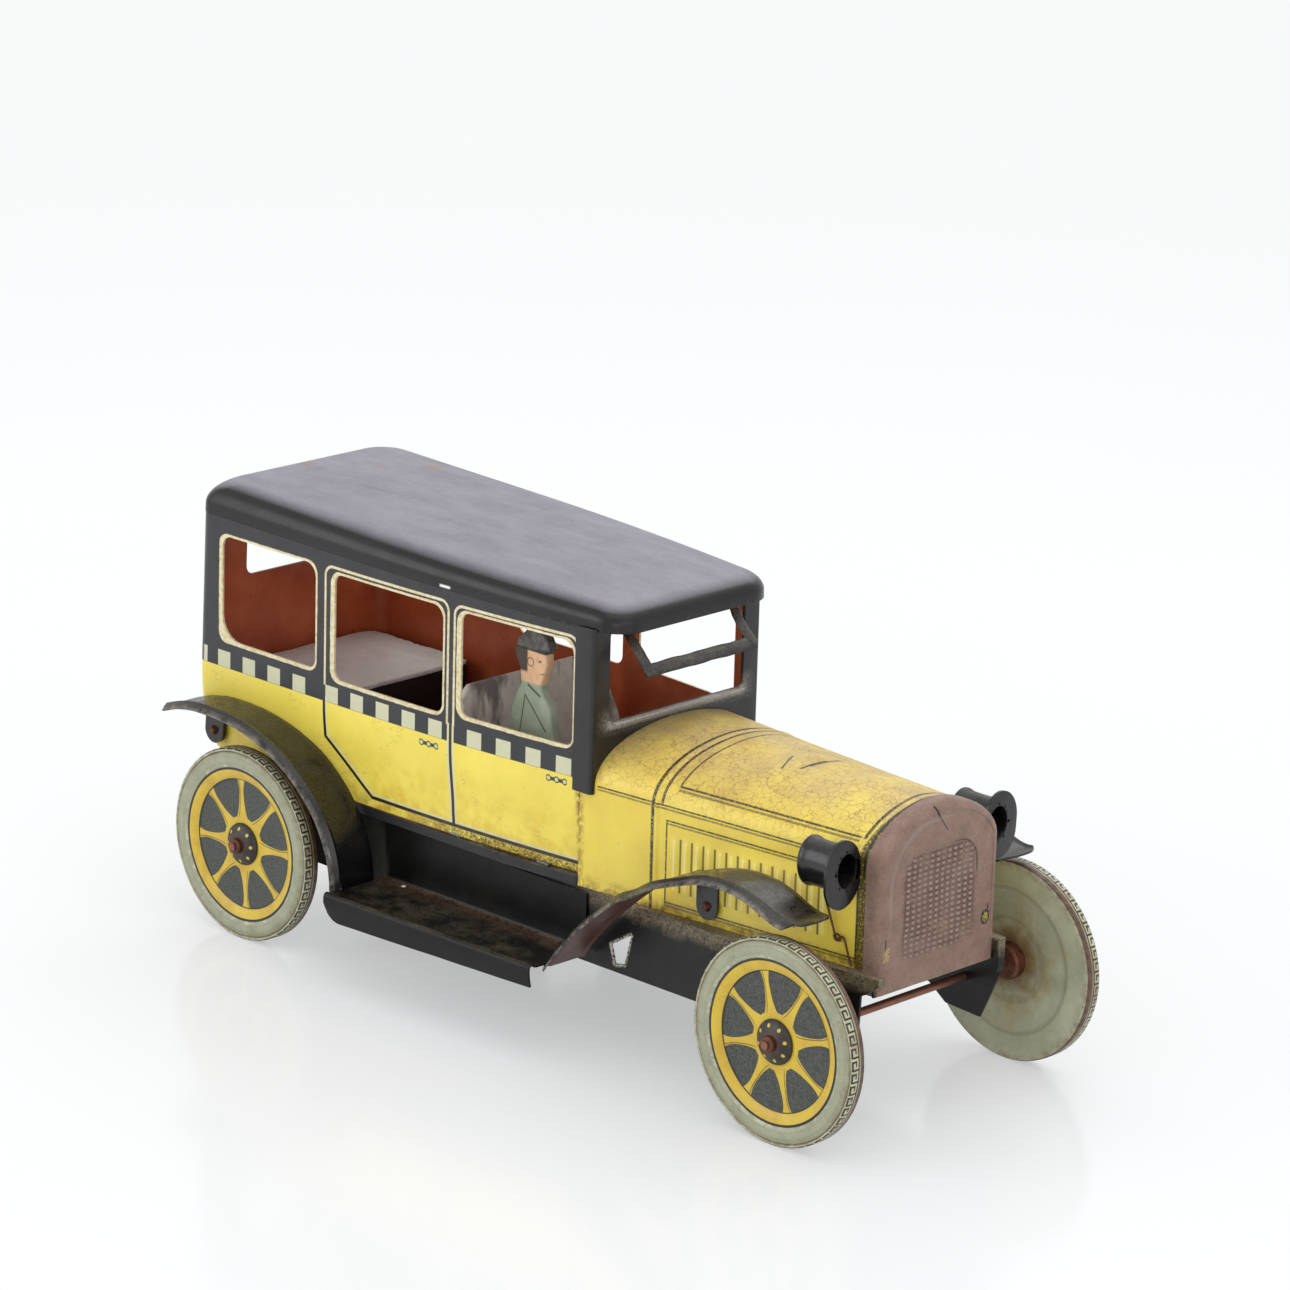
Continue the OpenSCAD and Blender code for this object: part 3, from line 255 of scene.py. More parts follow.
class Shader:
    def __init__(self, name, rough=0.5, metal=0.0):
        self.mat = bpy.data.materials.new(name)
        self.mat.use_nodes = True
        self.tree = self.mat.node_tree
        self.bsdf = self.tree.nodes["Principled BSDF"]
        self.bsdf.inputs["Roughness"].default_value = rough
        self.bsdf.inputs["Metallic"].default_value = metal
        obj = self.tree.nodes.new("ShaderNodeTexCoord").outputs["Object"]
        self.mm = self.vec("MULTIPLY_ADD", obj, (1000, 1000, 1000), (car["middle"], 0, 0))
        self.x, self.y, self.z = self.split(self.mm)

    def node(self, kind, outs=0, **inputs):
        n = self.tree.nodes.new(kind)
        for key, value in inputs.items():
            self.feed(n.inputs[key.replace("_", " ")], value)
        return n.outputs[outs]

    def feed(self, socket, value):
        if isinstance(value, bpy.types.NodeSocket):
            self.tree.links.new(value, socket)
        else:
            socket.default_value = value

    def vec(self, op, a, b=None, c=None):
        n = self.tree.nodes.new("ShaderNodeVectorMath")
        n.operation = op
        for i, value in enumerate((a, b, c)):
            if value is not None:
                self.feed(n.inputs[i], value)
        return n.outputs[1] if op in ("LENGTH", "DOT_PRODUCT", "DISTANCE") else n.outputs[0]

    def split(self, v):
        n = self.tree.nodes.new("ShaderNodeSeparateXYZ")
        self.feed(n.inputs[0], v)
        return n.outputs[0], n.outputs[1], n.outputs[2]

    def join(self, x, y, z):
        n = self.tree.nodes.new("ShaderNodeCombineXYZ")
        for i, value in enumerate((x, y, z)):
            self.feed(n.inputs[i], value)
        return n.outputs[0]

    def calc(self, op, a, b=None, c=None, clamp=False):
        n = self.tree.nodes.new("ShaderNodeMath")
        n.operation = op
        n.use_clamp = clamp
        for i, value in enumerate((a, b, c)):
            if value is not None:
                self.feed(n.inputs[i], value)
        return n.outputs[0]

    def times(self, a, b):
        return self.calc("MULTIPLY", a, b)

    def plus(self, a, b):
        return self.calc("ADD", a, b)

    def minus(self, a, b):
        return self.calc("SUBTRACT", a, b)

    def absolute(self, a):
        return self.calc("ABSOLUTE", a)

    def scaled(self, a, by, more, clamp=False):
        return self.calc("MULTIPLY_ADD", a, by, more, clamp)

    def radius(self, a, b):
        return self.vec("LENGTH", self.join(a, b, 0.0))

    def moved(self, x, y, z):
        # the same coordinates further along, so that two noises differ
        return self.vec("ADD", self.mm, (x, y, z))

    def fade(self, v, a, b):
        # 0 at a, 1 at b
        return self.scaled(v, 1 / (b - a), -a / (b - a), clamp=True)

    def span(self, v, a, b, soft=0.07):
        return self.calc("MINIMUM", self.fade(v, a - soft, a + soft), self.fade(v, b + soft, b - soft))

    def both(self, *masks):
        out = masks[0]
        for m in masks[1:]:
            out = self.times(out, m)
        return out

    def any(self, *masks):
        out = masks[0]
        for m in masks[1:]:
            out = self.calc("MAXIMUM", out, m)
        return out

    def stroke(self, x, z, a, b, width, soft=0.08):
        # a straight printed line from a to b
        run = Vector(b) - Vector(a)
        length = run.length
        d = run / length
        p = self.join(self.minus(x, a[0]), self.minus(z, a[1]), 0.0)
        along = self.vec("DOT_PRODUCT", p, (d.x, d.y, 0))
        side = self.absolute(self.vec("DOT_PRODUCT", p, (-d.y, d.x, 0)))
        return self.both(self.fade(side, width / 2 + soft, width / 2 - soft),
                         self.span(along, -width * 0.3, length + width * 0.3, soft))

    def boxDist(self, x, z, x0, x1, z0, z1, r):
        # distance outside a rounded box, negative inside
        q = self.minus(self.absolute(self.minus(x, (x0 + x1) / 2)), (x1 - x0) / 2 - r)
        w = self.minus(self.absolute(self.minus(z, (z0 + z1) / 2)), (z1 - z0) / 2 - r)
        out = self.radius(self.calc("MAXIMUM", q, 0.0), self.calc("MAXIMUM", w, 0.0))
        inside = self.calc("MINIMUM", self.calc("MAXIMUM", q, w), 0.0)
        return self.minus(self.plus(out, inside), r)

    def outline(self, d, at, width, soft=0.08):
        away = self.absolute(self.minus(d, at))
        return self.fade(away, width / 2 + soft, width / 2 - soft)

    def noise(self, scale, detail=4.0, rough=0.55, where=None, warp=0.0):
        n = self.tree.nodes.new("ShaderNodeTexNoise")
        self.feed(n.inputs["Vector"], where or self.mm)
        n.inputs["Scale"].default_value = scale
        n.inputs["Detail"].default_value = detail
        n.inputs["Roughness"].default_value = rough
        n.inputs["Distortion"].default_value = warp
        return n.outputs[0]

    def cells(self, scale, where):
        n = self.tree.nodes.new("ShaderNodeTexVoronoi")
        n.feature = "DISTANCE_TO_EDGE"
        self.feed(n.inputs["Vector"], where)
        n.inputs["Scale"].default_value = scale
        return n.outputs[0]

    def mix(self, fac, a, b):
        n = self.tree.nodes.new("ShaderNodeMix")
        n.data_type = "RGBA"
        self.feed(n.inputs[0], fac)
        self.feed(n.inputs[6], a)
        self.feed(n.inputs[7], b)
        return n.outputs[2]

    def tint(self, color, to, amount, mask):
        # draws a colour towards another where the mask is, up to the amount
        return self.mix(self.times(mask, amount), color, to)

    def patches(self, low, high, scale, detail=4.0, rough=0.55, where=None):
        # cloudy mask: 0 where the noise is at low, 1 where it is at high
        return self.fade(self.noise(scale, detail, rough, where), low, high)

    def normalZ(self):
        n = self.tree.nodes.new("ShaderNodeNewGeometry")
        return self.split(n.outputs["Normal"])[2]

    def bump(self, height, strength=0.5, depth=0.3, under=None):
        n = self.tree.nodes.new("ShaderNodeBump")
        n.inputs["Strength"].default_value = strength
        n.inputs["Distance"].default_value = depth / 1000
        self.feed(n.inputs["Height"], height)
        if under:
            self.feed(n.inputs["Normal"], under)
        return n.outputs[0]

    def edges(self, radius=0.15):
        # soft highlights on the edges of the plain solids
        n = self.tree.nodes.new("ShaderNodeBevel")
        n.samples = 4
        n.inputs["Radius"].default_value = radius / 1000
        return n.outputs[0]

    def finish(self, color, rough=None, normal=None, metal=None):
        self.feed(self.bsdf.inputs["Base Color"], color)
        if rough is not None:
            self.feed(self.bsdf.inputs["Roughness"], rough)
        if metal is not None:
            self.feed(self.bsdf.inputs["Metallic"], metal)
        if normal is not None:
            self.feed(self.bsdf.inputs["Normal"], normal)
        return self.mat


ink = {"yellow": rgb(238, 219, 92), "yellowDark": rgb(214, 176, 58), "black": rgb(36, 37, 40),
       "line": rgb(34, 34, 32), "cream": rgb(222, 212, 178), "dust": rgb(150, 140, 122),
       "rust": rgb(112, 58, 34), "rustDark": rgb(62, 36, 28), "tyre": rgb(158, 160, 134),
       "tin": rgb(200, 198, 190)}


def wear(s, color, amount=0.5, scale=0.5, seed=0.0):
    # small dark specks and rusty freckles
    at = s.moved(seed, seed * 2, seed * 3)
    specks = s.patches(0.66, 0.72, scale * 2.2, 6, 0.65, at)
    freckle = s.patches(0.64, 0.74, scale * 0.7, 8, 0.7, at)
    color = s.tint(color, ink["rustDark"], amount, specks)
    return s.tint(color, ink["rust"], amount * 0.7, freckle)


def scratches(s, scale=0.22, width=0.012):
    # long thin marks: stretched noise cut near its middle value
    a = s.vec("MULTIPLY", s.moved(31, 7, 3), (1.0, 1.0, 6.0))
    n = s.noise(scale, 2, 0.4, a, 1.2)
    near = s.absolute(s.minus(n, 0.5))
    where = s.patches(0.55, 0.62, 0.09, 3, 0.6)
    return s.both(s.fade(near, width, width * 0.3), where)


# printed on the body: belt line, top of the band, pillar line, window margin, then
# rows of squares as phase, pitch and ends, and the places of the door handles
bodyArt = {"belt": 65.6, "bandTop": 69.9, "pillar": 64.0, "margin": (1.5, 0.6, 0.9, 0.6),
           "squares": ((-20.9, 9.45, -21.2, 12.6), (19.7, 9.2, 19.5, 61.6), (69.5, 9.5, 69.3, 103.0)),
           "handles": ((56.7, 63.2), (98.3, 63.7)),
           "doors": [((19.2, 66), (19.2, 56.2)), ((19.2, 56.2), (35.3, 43.8)), ((35.3, 43.8), (63.9, 43.7)),
                     ((63.9, 43.7), (104.4, 43.7))]}


def bodyPrint():
    s = Shader("bodyPrint", 0.32)
    x = s.node("ShaderNodeAttribute", 2)
    x.node.attribute_name = "along"
    z = s.z
    cloud = s.noise(0.06, 5, 0.6)
    color = s.mix(s.fade(cloud, 0.35, 0.7), ink["yellow"], rgb(228, 206, 84))
    # darker yellow in cloudy patches towards the bottom
    color = s.tint(color, ink["yellowDark"], s.patches(0.42, 0.7, 0.2, 5), s.fade(z, 60, 43))
    upper = s.fade(z, 65.45, bodyArt["belt"])
    black = s.mix(s.patches(0.4, 0.7, 0.12, 6, 0.6), ink["black"], rgb(46, 46, 50))
    color = s.mix(upper, color, black)
    squares = [s.span(x, -26.9, -25.4)]
    for start, pitch, lo, hi in bodyArt["squares"]:
        turn = s.calc("FLOORED_MODULO", s.minus(x, start), pitch)
        squares.append(s.both(s.span(turn, 0, pitch / 2), s.span(x, lo, hi)))
    checker = s.both(s.any(*squares), s.span(z, bodyArt["belt"], bodyArt["bandTop"]))
    color = s.mix(checker, color, s.mix(s.noise(0.8, 4), rgb(190, 192, 160), rgb(206, 204, 172)))
    # window lips, wider to the rear and below
    worn = s.scaled(s.noise(0.4, 4, 0.6), 0.5, -0.25)
    rear, fore, low, high = bodyArt["margin"]
    lips = [s.plus(s.boxDist(x, z, x0 - rear, x1 + fore, z0 - low, z1 + high, 3.4), worn)
            for x0, x1, z0, z1, _ in windows]
    lip = s.any(*[s.fade(d, 0.12, -0.08) for d in lips])
    frames = s.any(s.outline(s.boxDist(x, z, 19.4, 62.8, 50, 100.8, 2.6), 0, 0.7),
                   s.outline(s.boxDist(x, z, 64.9, 103.9, 50, 100.5, 2.6), 0, 0.7))
    cream = s.mix(s.patches(0.4, 0.7, 0.9, 4), ink["cream"], rgb(196, 176, 122))
    color = s.mix(s.calc("MAXIMUM", lip, s.both(frames, s.fade(z, 69.6, 70.0))), color, cream)
    doors, post = bodyArt["doors"], bodyArt["pillar"]
    sx, sz = s.minus(x, 0.75), s.minus(z, 0.75)
    pale = s.any(*[s.stroke(sx, sz, a, b, 0.6) for a, b in doors])
    pillar = s.stroke(x, z, (post, 70), (post, 44.2), 2.2)
    color = s.mix(s.both(s.any(pale, pillar), s.fade(z, 70.4, 70)), color, rgb(214, 206, 160))
    dark = s.any(*[s.stroke(x, z, a, b, 0.95) for a, b in doors + [((post, 72), (post, 44.0))]])
    color = s.mix(dark, color, ink["line"])
    for hx, hz in bodyArt["handles"]:
        bar = s.boxDist(x, z, hx - 2.9, hx + 2.9, hz - 0.45, hz + 0.45, 0.4)
        rings = s.radius(s.calc("PINGPONG", s.minus(x, hx), 1.25), s.minus(z, hz))
        inBar = s.fade(s.boxDist(x, z, hx - 3.2, hx + 3.2, hz - 1, hz + 1, 0.5), 0.1, -0.05)
        color = s.mix(s.any(s.fade(bar, 0.1, -0.05), s.both(inBar, s.fade(rings, 0.92, 0.8))), color,
                      rgb(58, 60, 44))
        color = s.mix(s.both(inBar, s.fade(rings, 0.62, 0.46)), color, rgb(196, 200, 150))
    color = s.tint(color, ink["rustDark"], 0.5, scratches(s))
    color = wear(s, color, 0.42, 0.5)
    edge = s.both(s.fade(x, 103.6, 105.3), s.patches(0.42, 0.55, 0.6, 6, 0.7))
    color = s.mix(s.any(edge, s.fade(z, 41.4, 41.0)), color, ink["rust"])
    # darker and browner towards the bottom edge, in cloudy patches
    lowerDarkening = s.both(s.fade(z, 46, 42), s.patches(0.45, 0.65, 0.35, 5))
    color = s.tint(color, rgb(120, 92, 40), 0.5, lowerDarkening)
    sill = s.both(s.fade(z, 43.5, 42.9), s.fade(x, 36, 70), s.patches(0.43, 0.55, 1.7, 5, 0.75))
    color = s.tint(color, ink["line"], 0.85, sill)
    gloss = s.scaled(s.noise(0.3, 5), 0.22, 0.24)
    return s.finish(color, gloss, s.bump(s.noise(0.05, 3), 0.35, 0.6))


def lacquer():
    s = Shader("redLacquer", 0.3)
    color = s.mix(s.patches(0.35, 0.7, 0.08, 5), rgb(188, 98, 62), rgb(156, 74, 44))
    color = s.tint(color, rgb(104, 50, 34), 0.4, s.patches(0.6, 0.75, 0.35, 6, 0.7))
    return s.finish(color, s.scaled(s.noise(0.4), 0.3, 0.18))


def shelfDirt(s, color, up):
    # pale grit on the deck beside the hood, bare tin round the torn rail hole
    ragged = s.plus(s.z, s.scaled(s.noise(0.35, 5, 0.7), 5.0, -2.5))
    here = s.both(s.fade(ragged, 33.8, 36.4), s.fade(s.x, 104, 116), s.scaled(up, 0.3, 0.7))
    grit = s.patches(0.36, 0.58, 1.9, 6, 0.75)
    color = s.tint(color, rgb(172, 156, 126), 0.8, s.both(here, grit))
    pepper = s.patches(0.54, 0.6, 3.0, 4, 0.7, s.moved(3, 8, 1))
    color = s.tint(color, rgb(44, 36, 30), 0.75, s.both(here, pepper))
    corners = [(117, 26.5), (118.4, 22), (121.6, 22.6), (123.6, 30.6), (121, 29)]
    torn = s.any(*[s.stroke(s.x, s.z, a, b, 1.1, 0.3) for a, b in zip(corners, corners[1:] + corners[:1])])
    torn = s.both(torn, s.patches(0.42, 0.52, 1.5, 4, 0.7), s.fade(s.y, -10, -12))
    return s.mix(torn, color, rgb(206, 200, 190))


def boardDirt(s, color, up):
    # crumbs of rust gathered along the apron
    near = s.both(up, s.fade(s.absolute(s.y), 35, 29.5), s.patches(0.42, 0.58, 1.0, 6, 0.75))
    color = s.tint(color, rgb(92, 70, 50), 0.7, near)
    crumbs = s.both(up, s.patches(0.68, 0.71, 1.9, 3, 0.6, s.moved(7, 3, 5)))
    color = s.tint(color, rgb(158, 124, 88), 0.8, crumbs)
    chalk = s.vec("DISTANCE", s.mm, (46.3, -29.6, 22.6))
    return s.mix(s.fade(chalk, 0.9, 0.6), color, rgb(226, 224, 218))


def lipWearAndHighlight(s, color, up):
    # the rolled outer lip is rubbed pale and carries a painted highlight along it, the crown carries fine pale
    # specks
    out = s.plus(s.absolute(s.y), s.times(s.fade(s.x, 60, 100), 1.9))
    rubAndHighlight = s.both(s.fade(out, 44.5, 45.4), s.patches(0.38, 0.6, 0.45, 5, 0.7))
    color = s.tint(color, rgb(140, 132, 122), 0.6, rubAndHighlight)
    specks = s.both(up, s.patches(0.6, 0.66, 2.6, 4, 0.75))
    color = s.tint(color, rgb(136, 128, 112), 0.5, specks)
    brown = s.both(up, s.patches(0.56, 0.68, 0.4, 6, 0.75, s.moved(2, 6, 4)))
    return s.tint(color, rgb(84, 64, 48), 0.3, brown)


def blackPaint(name, dust=0.4, base=(40, 40, 44), gloss=0.3, edge=False, worn=0.35, seed=0.0, bright=0.0,
               lint=None, level=0.5, extra=None):
    # dust settles on what looks up, lint is a range of heights with fluff, extra adds marks of its own
    s = Shader(name, gloss)
    s.bsdf.inputs["Specular IOR Level"].default_value = level
    at = s.moved(seed, 0, seed)
    color = s.mix(s.patches(0.35, 0.7, 0.1, 6, 0.6, at), rgb(*base), rgb(*[c + 14 for c in base]))
    color = wear(s, color, worn, 0.55, seed)
    chips = s.patches(0.7, 0.74, 0.85, 7, 0.75, at)
    color = s.tint(color, rgb(150, 142, 130), 0.5 + bright, chips)
    up = s.fade(s.normalZ(), 0.25, 0.95)
    grain = s.scaled(s.noise(1.6, 5, 0.7, at), 0.6, s.times(s.noise(0.16, 4, 0.6, at), 0.6))
    dustAndSheen = s.both(up, s.fade(grain, 0.52, 0.82))
    color = s.mix(s.calc("MULTIPLY", dustAndSheen, dust, clamp=True), color, ink["dust"])
    if lint:
        # fluff gathered along one height
        fluff = s.both(s.span(s.z, lint[0], lint[1], 1.6), s.patches(0.42, 0.58, 1.3, 6, 0.8, at),
                       s.fade(s.absolute(s.y), 27.5, 24))
        color = s.tint(color, rgb(138, 134, 126), 0.75, fluff)
        ledgeFluff = s.both(s.span(s.z, lint[0] + 0.4, lint[0] + 2.6, 0.5), s.fade(s.absolute(s.y), 25, 22),
                            s.patches(0.34, 0.5, 1.1, 6, 0.8, at))
        color = s.tint(color, rgb(176, 172, 164), 0.85, ledgeFluff)
    if extra:
        color = extra(s, color, up)
    r = s.scaled(dustAndSheen, 0.45, s.scaled(s.noise(0.35, 5, 0.6, at), 0.25, gloss - 0.1), clamp=True)
    normal = s.bump(grain, 0.25, 0.12, s.edges(0.2) if edge else None)
    return s.finish(color, r, normal)


def roofPaint():
    s = Shader("roofPaint", 0.36)
    s.bsdf.inputs["Specular IOR Level"].default_value = 0.4
    color = s.mix(s.patches(0.35, 0.7, 0.05, 6, 0.6), rgb(18, 16, 17), rgb(32, 29, 30))
    # painted sheen: where the lid faces up its colour is lightened to a pale grey with faint streaks
    up = s.fade(s.normalZ(), 0.76, 0.985)
    streak = s.noise(0.1, 6, 0.6, s.vec("MULTIPLY", s.mm, (0.5, 1.6, 1)))
    dustAndSheen = s.both(up, s.scaled(s.fade(streak, 0.35, 0.68), 0.2, s.scaled(s.noise(0.8, 5, 0.7), 0.3, 0.46)))
    color = s.mix(dustAndSheen, color, rgb(142, 139, 150))
    for px, py, r in ((-21, -2, 1.2), (1.5, 21, 1.6), (-6, 9, 0.4)):
        d = s.radius(s.minus(s.x, px), s.minus(s.y, py))
        d = s.plus(d, s.times(s.noise(0.7, 5, 0.7), 3.0))
        color = s.tint(color, rgb(142, 100, 78), 0.5, s.both(up, s.fade(d, r + 3.2, r + 0.8)))
    rim = s.both(s.patches(0.55, 0.7, 0.9, 5, 0.7), s.fade(s.z, 104.6, 103.2))
    color = s.tint(color, rgb(120, 112, 100), 0.4, rim)
    color = wear(s, color, 0.18, 0.4, 9)
    # painted light: a near-white spot on the near side where light shows through the joint of lid and wall
    gapLight = s.both(s.span(s.x, 59.8, 63.2, 0.3), s.span(s.z, 104.1, 104.7, 0.2), s.fade(s.y, -30, -31))
    color = s.mix(gapLight, color, rgb(235, 235, 230))
    r = s.scaled(s.noise(0.18, 6, 0.65), 0.3, s.scaled(up, 0.12, 0.16))
    return s.finish(color, r, s.bump(s.noise(0.9, 4, 0.6), 0.12, 0.1))


# printed on the hood: louvre field, double lines (each line with a painted shadow below it), places of the
# bands and deep scratches
hoodArt = {"louvresX": (134, 181), "louvresZ": (44.2, 57.6), "shadow": 0.75, "band": 128.0,
           "hairline": 130.7, "front": 190.6,
           "lines": [((111, 64.9), (175, 64.9)), ((132.4, 61.4), (189, 61.4)), ((132.4, 61.4), (132.4, 41)),
                     ((132.4, 41), (189, 41)), ((189, 61.4), (189, 41)), ((134.2, 69.6), (187, 69.6))],
           "gouges": (((152.6, -8.2), (149.6, -1.2), 0.5), ((156.4, -5.4), (158.4, 5.6), 0.8),
                      ((157.0, -3.0), (157.6, 2.0), 1.3))}


def hoodPrint():
    s = Shader("hoodPrint", 0.34)
    x, z = s.x, s.z
    top = s.fade(z, 67, 75.5)
    color = s.mix(s.patches(0.35, 0.7, 0.07, 5), rgb(232, 210, 84), rgb(222, 192, 76))
    aged = s.times(top, s.patches(0.2, 0.6, 0.09, 5, 0.6))
    color = s.tint(color, rgb(190, 164, 104), 0.92, aged)
    brown = s.both(s.patches(0.5, 0.72, 0.06, 6, 0.6, s.moved(5, 9, 2)), s.fade(z, 58, 70))
    color = s.tint(color, rgb(166, 130, 74), 0.5, brown)
    printed = []
    # each printed line is also drawn a little lower as its painted shadow
    for a, b in hoodArt["lines"]:
        line = s.stroke(x, z, a, b, 0.42)
        printed.append(s.any(line, s.times(s.stroke(x, s.plus(z, hoodArt["shadow"]), a, b, 0.5), 0.7)))
    over = s.both(s.fade(z, 69.3, 69.7), s.any(s.outline(x, 134.0, 0.5), s.outline(x, 188.2, 0.9)))
    band = s.any(s.outline(x, hoodArt["band"], 0.95),
                 s.both(s.outline(x, hoodArt["hairline"], 0.8), s.fade(z, 64.6, 64.9)))
    front = s.both(s.outline(x, hoodArt["front"], 0.6), s.fade(z, 61, 61.5))
    dotted = s.patches(0.36, 0.5, 2.6, 2, 0.5)
    black = s.any(s.any(*printed), over, band, front)
    color = s.mix(s.both(black, s.scaled(dotted, 0.5, 0.5)), color, ink["line"])
    ribs = s.calc("PINGPONG", s.minus(x, hood["firstLouvre"]), hood["louvre"] / 2)
    field = s.span(x, *hoodArt["louvresX"])
    # dark lines between the louvre ribs, printed and also painted shade in the recesses
    ribGapsPrintAndShade = s.both(field, s.span(z, *hoodArt["louvresZ"]), s.fade(ribs, 1.25, 1.55))
    color = s.tint(color, rgb(70, 54, 26), 0.85, ribGapsPrintAndShade)
    # painted highlight along the crests of the ribs
    crestHighlight = s.both(field, s.span(z, 44.6, 57.2), s.fade(ribs, 0.55, 0.2))
    color = s.tint(color, rgb(246, 232, 160), 0.5, crestHighlight)

    def crazing(size, bend, scale, wide, thin):
        # dark lines between cells whose places are shifted by a noise
        shift = s.node("ShaderNodeTexNoise", 1, Vector=s.mm, Scale=scale)
        return s.fade(s.cells(size, where=s.vec("MULTIPLY_ADD", shift, (bend,) * 3, s.mm)), wide, thin)

    cracks = crazing(0.42, 2.4, 0.5, 0.045, 0.01)
    fine = crazing(0.85, 1.3, 0.8, 0.05, 0.012)
    where = s.both(s.fade(z, 62, 70), s.patches(0.28, 0.5, 0.12, 4, 0.6))
    crackle = s.both(s.any(cracks, s.both(fine, s.patches(0.45, 0.6, 0.2, 3))), where)
    color = s.tint(color, rgb(104, 76, 44), 0.55, crackle)
    for a, b, w in hoodArt["gouges"]:
        gouge = s.both(s.stroke(x, s.plus(s.y, s.scaled(s.noise(0.6), 0.8, -0.4)), a, b, w, 0.2),
                       s.fade(z, 66, 70))
        color = s.mix(gouge, color, rgb(66, 48, 42))
    color = wear(s, color, 0.5, 0.5, 3)
    rear = s.both(s.fade(x, 107.5, 105.6), s.patches(0.4, 0.55, 0.5, 5, 0.7))
    foot = s.both(s.fade(z, 42.5, 39.5), s.patches(0.4, 0.6, 0.5, 5, 0.7))
    lip = s.both(s.fade(x, 192.2, 193.4), s.patches(0.35, 0.55, 0.6, 5, 0.7))
    mottled = s.both(s.fade(s.scaled(top, -1.5, x), 188.5, 189.0), s.patches(0.36, 0.47, 1.8, 5, 0.7))
    color = s.tint(color, ink["line"], 0.9, mottled)
    color = s.tint(color, rgb(104, 70, 36), 0.75, s.any(rear, foot, lip))
    soot = s.both(s.fade(x, 124, 108), s.fade(z, 66, 75), s.patches(0.25, 0.6, 0.8, 6, 0.75))
    color = s.tint(color, rgb(150, 136, 104), 0.7, soot)
    r = s.scaled(top, 0.14, s.scaled(s.noise(0.3, 5), 0.22, 0.22))
    normal = s.bump(s.times(crackle, -1.0), 0.35, 0.12, s.bump(s.noise(0.06, 3), 0.3, 0.6))
    return s.finish(color, r, normal)


# radiator: places and reach over the hood's end, and its pressed knobs' pitch and lowest row
grille = {"back": 191.8, "step": 193.2, "front": 194.1, "foot": 33.4, "over": 0.7, "roll": 2.05, "around": 72,
          "across": 2.0, "up": 1.38, "low": 40.2, "knob": 0.34, "tin": 0.5}


